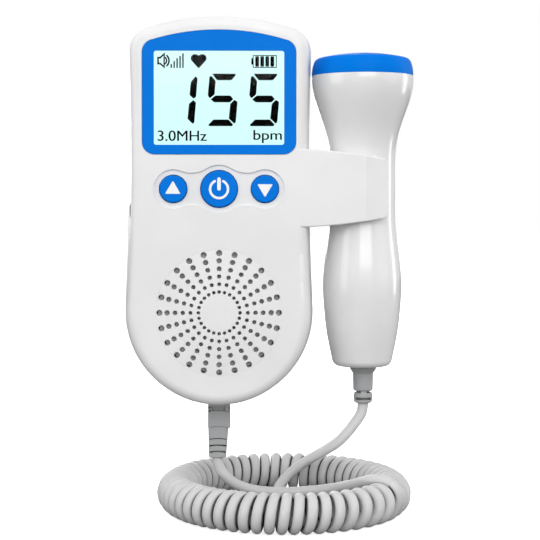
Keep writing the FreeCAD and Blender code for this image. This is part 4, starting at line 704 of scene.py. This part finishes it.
def build_symbols(bm):
    stroke(bm, raised(HORN), HORN_LINE, SCREEN_DEPTH, closed=True)
    for radius, half, steps, width in SOUND_ARCS:
        stroke(bm, raised(arc(*SOUND_CENTRE, radius, -half, half, steps)), width, SCREEN_DEPTH)
    for i, top in enumerate(SIGNAL_TOPS):
        x = SIGNAL_START + SIGNAL_STEP * i
        slab(bm, raised(block(x - SIGNAL_HALF, x + SIGNAL_HALF, SIGNAL_FOOT, top)), SCREEN_DEPTH)
    slab(bm, raised(heart(*HEART)), SCREEN_DEPTH)
    stroke(bm, raised(block(*CELL_CASE)), CELL_CASE_LINE, SCREEN_DEPTH, closed=True)
    slab(bm, raised(block(*CELL_NUB)), SCREEN_DEPTH)
    x_low, x_high, z_low, z_high = CELL_BAR
    for i in range(CELL_BARS):
        step = CELL_BAR_STEP * i
        slab(bm, raised(block(x_low + step, x_high + step, z_low, z_high)), SCREEN_DEPTH)
    front, back = SCREEN_DEPTH
    for shift, thinner in BOLD_LAYERS:
        for words, (left, right), (low, high) in WORDS:
            lettering(bm, words, (left + shift, right + shift), (SCREEN_Z + low, SCREEN_Z + high),
                      (front + thinner, back - thinner))


# The signs on the keys, in millimetres from the middle of their key
POWER_ARC = (-0.03, -0.05, 3.03, 118, 422, 48)  # centre, radius, from and to angle, steps
POWER_ARC_LINE = 0.82
POWER_BAR = ((-0.03, 0.05), (-0.03, 3.3))
POWER_BAR_LINE = 1.22
UP_SIGN = ((-0.25, 2.5), (0.12, 2.5), (2.35, -1.4), (2.2, -1.62), (-2.48, -1.62), (-2.6, -1.4))
DOWN_SIGN = ((-0.18, -2.52), (0.18, -2.52), (2.48, 1.4), (2.34, 1.6), (-2.34, 1.6), (-2.48, 1.4))


def on_key(points, x=0.0):
    return [(x + a, KEY_Z + b) for a, b in points]


def build_power_mark(bm):
    stroke(bm, on_key(arc(*POWER_ARC)), POWER_ARC_LINE, KEY_DEPTH)
    stroke(bm, on_key(POWER_BAR), POWER_BAR_LINE, KEY_DEPTH)


def build_up_mark(bm):
    slab(bm, on_key(UP_SIGN, -KEY_PITCH), KEY_DEPTH)


def build_down_mark(bm):
    slab(bm, on_key(DOWN_SIGN, KEY_PITCH), KEY_DEPTH)


def make_marks():
    dark = ink("display_ink", (3, 4, 4), 0.0)
    white = ink("key_print", (253, 253, 253), 0.5)
    for name, build, material, body, slot in (
        ("display_digits", build_digits, dark, "unit", "chip_black"),
        ("display_symbols", build_symbols, dark, "unit", "chip_black"),
        ("power_mark", build_power_mark, white, "power_key", "connector_white"),
        ("up_mark", build_up_mark, white, "volume_up_key", "connector_white"),
        ("down_mark", build_down_mark, white, "volume_down_key", "connector_white"),
    ):
        add_piece(name, mesh_from(name, build, smooth=False), material, body)


make_marks()


# ---- camera, light and floor ---------------------------------------------------------------------

CAMERA_PLACE = mm(0.0, -515.0, 2.96)
CAMERA_AIM = mm(8.31, -15.2, -8.34)
CAMERA_SHIFT = (0.05, -0.065)
LENS = 95.75
SENSOR = 36.0
CLIP_START = 0.01

SURFACE_Z = -104.6 * MM  # the floor's, at the foot of the ring
FLOOR_RADIUS = 4.0
FLOOR_SEGMENTS = 96
FLOOR_SHADES = ((0.88, 0.88, 0.88), (0.92, 0.92, 0.92))
FLOOR_GLOW = 0.7  # for the camera alone
FLOOR_BOUNCE = (0.24, 0.24, 0.24, 1.0)  # the colour that the object gets its light back from

PURE_WHITE = (1.0, 1.0, 1.0, 1.0)
WORLD_STRENGTH = 0.62  # as light; the camera sees it at full strength
SUN_STRENGTH = 0.2
SUN_ANGLE = 50
SUN_WAY = (0.1, 0.35, -0.9)
LIGHT_AIM = (15.0, -15.0, -10.0)
AREA_LIGHTS = (  # name, place in millimetres, width and height in metres, watts
    ("key", (150, -1040, 500), 0.8, 0.8, 6.2),
    ("fill", (-900, -450, 150), 0.6, 1.0, 2.8),
    ("side", (900, -500, 200), 0.6, 1.0, 0.9),
    ("strip", (819, 206, 40), 0.2, 1.2, 2.4),
    ("rear", (-250, 950, 240), 0.8, 0.5, 4.0),
)
BEAMS = (  # name, place and aim in mm, degrees across, height as a share, radius in metres, watts
    ("ring", (-100, -800, -70), (26, -15, -96), 18, 0.2, 0.02, 4.4),
    ("lead", (-60, -800, -82), (42, -8, -80), 5, 0.35, 0.008, 21.0),
)


def point_at(thing, way):
    """Turns a camera or a lamp towards a direction, with its top up."""
    thing.rotation_mode = "QUATERNION"
    thing.rotation_quaternion = way.to_track_quat("-Z", "Y")


def make_camera():
    camera = bpy.data.objects.new("camera", bpy.data.cameras.new("camera"))
    bpy.context.scene.collection.objects.link(camera)
    camera.data.lens = LENS
    camera.data.sensor_width = SENSOR
    camera.data.clip_start = CLIP_START
    camera.data.shift_x, camera.data.shift_y = CAMERA_SHIFT
    camera.location = CAMERA_PLACE
    point_at(camera, CAMERA_AIM - CAMERA_PLACE)
    bpy.context.scene.camera = camera


def camera_sees(tree, seen, otherwise, output):
    """Shows one shader to the camera and gives everything else another."""
    path = tree.nodes.new("ShaderNodeLightPath")
    both = tree.nodes.new("ShaderNodeMixShader")
    tree.links.new(path.outputs["Is Camera Ray"], both.inputs["Fac"])
    tree.links.new(otherwise, both.inputs[1])
    tree.links.new(seen, both.inputs[2])
    tree.links.new(both.outputs["Shader"], tree.nodes[output].inputs["Surface"])


def make_floor():
    def build(bm):
        bmesh.ops.create_circle(bm, cap_ends=True, segments=FLOOR_SEGMENTS, radius=FLOOR_RADIUS)
    floor = bpy.data.objects.new("floor", mesh_from("floor", build))
    floor.location.z = SURFACE_Z
    bpy.context.scene.collection.objects.link(floor)
    g = Graph("floor")
    g.colour(g.mix(g.spread(g.noise(3, detail=2), 0, 1), *FLOOR_SHADES))
    g.set(Roughness=1.0, Emission_Color=PURE_WHITE, Emission_Strength=FLOOR_GLOW, Specular_IOR_Level=0.0)
    dim = g.node("ShaderNodeBsdfDiffuse")
    dim.inputs["Color"].default_value = FLOOR_BOUNCE
    camera_sees(g.tree, g.shader.outputs["BSDF"], dim.outputs["BSDF"], "Material Output")
    floor.data.materials.append(g.material)


def make_world():
    world = bpy.data.worlds.new("studio")
    world.use_nodes = True
    bpy.context.scene.world = world
    tree = world.node_tree
    lit = tree.nodes["Background"]
    lit.inputs["Color"].default_value = PURE_WHITE
    lit.inputs["Strength"].default_value = WORLD_STRENGTH
    seen = tree.nodes.new("ShaderNodeBackground")
    seen.inputs["Color"].default_value = PURE_WHITE
    camera_sees(tree, seen.outputs["Background"], lit.outputs["Background"], "World Output")


def make_lamp(light, way):
    lamp = bpy.data.objects.new(light.name, light)
    bpy.context.scene.collection.objects.link(lamp)
    point_at(lamp, way)
    return lamp


def area_light(name, place, width, height, power):
    light = bpy.data.lights.new(name, "AREA")
    light.shape = "RECTANGLE"
    light.size = width
    light.size_y = height
    light.energy = power
    lamp = make_lamp(light, mm(*LIGHT_AIM) - mm(*place))
    lamp.location = mm(*place)


def beam(name, place, aim, spread, flatness, softness, power):
    """A flat soft-edged beam aimed at the cords."""
    light = bpy.data.lights.new(name, "SPOT")
    light.energy = power
    light.shadow_soft_size = softness
    light.spot_size = math.radians(spread)
    light.spot_blend = 1.0
    lamp = make_lamp(light, mm(*aim) - mm(*place))
    lamp.location = mm(*place)
    lamp.scale = (1.0, flatness, 1.0)


def make_lights():
    sun = bpy.data.lights.new("sun", "SUN")
    sun.energy = SUN_STRENGTH
    sun.angle = math.radians(SUN_ANGLE)
    make_lamp(sun, Vector(SUN_WAY))
    for values in AREA_LIGHTS:
        area_light(*values)
    for values in BEAMS:
        beam(*values)


make_camera()
make_floor()
make_world()
make_lights()
bpy.context.scene.view_settings.view_transform = "Standard"

bpy.context.view_layer.update()
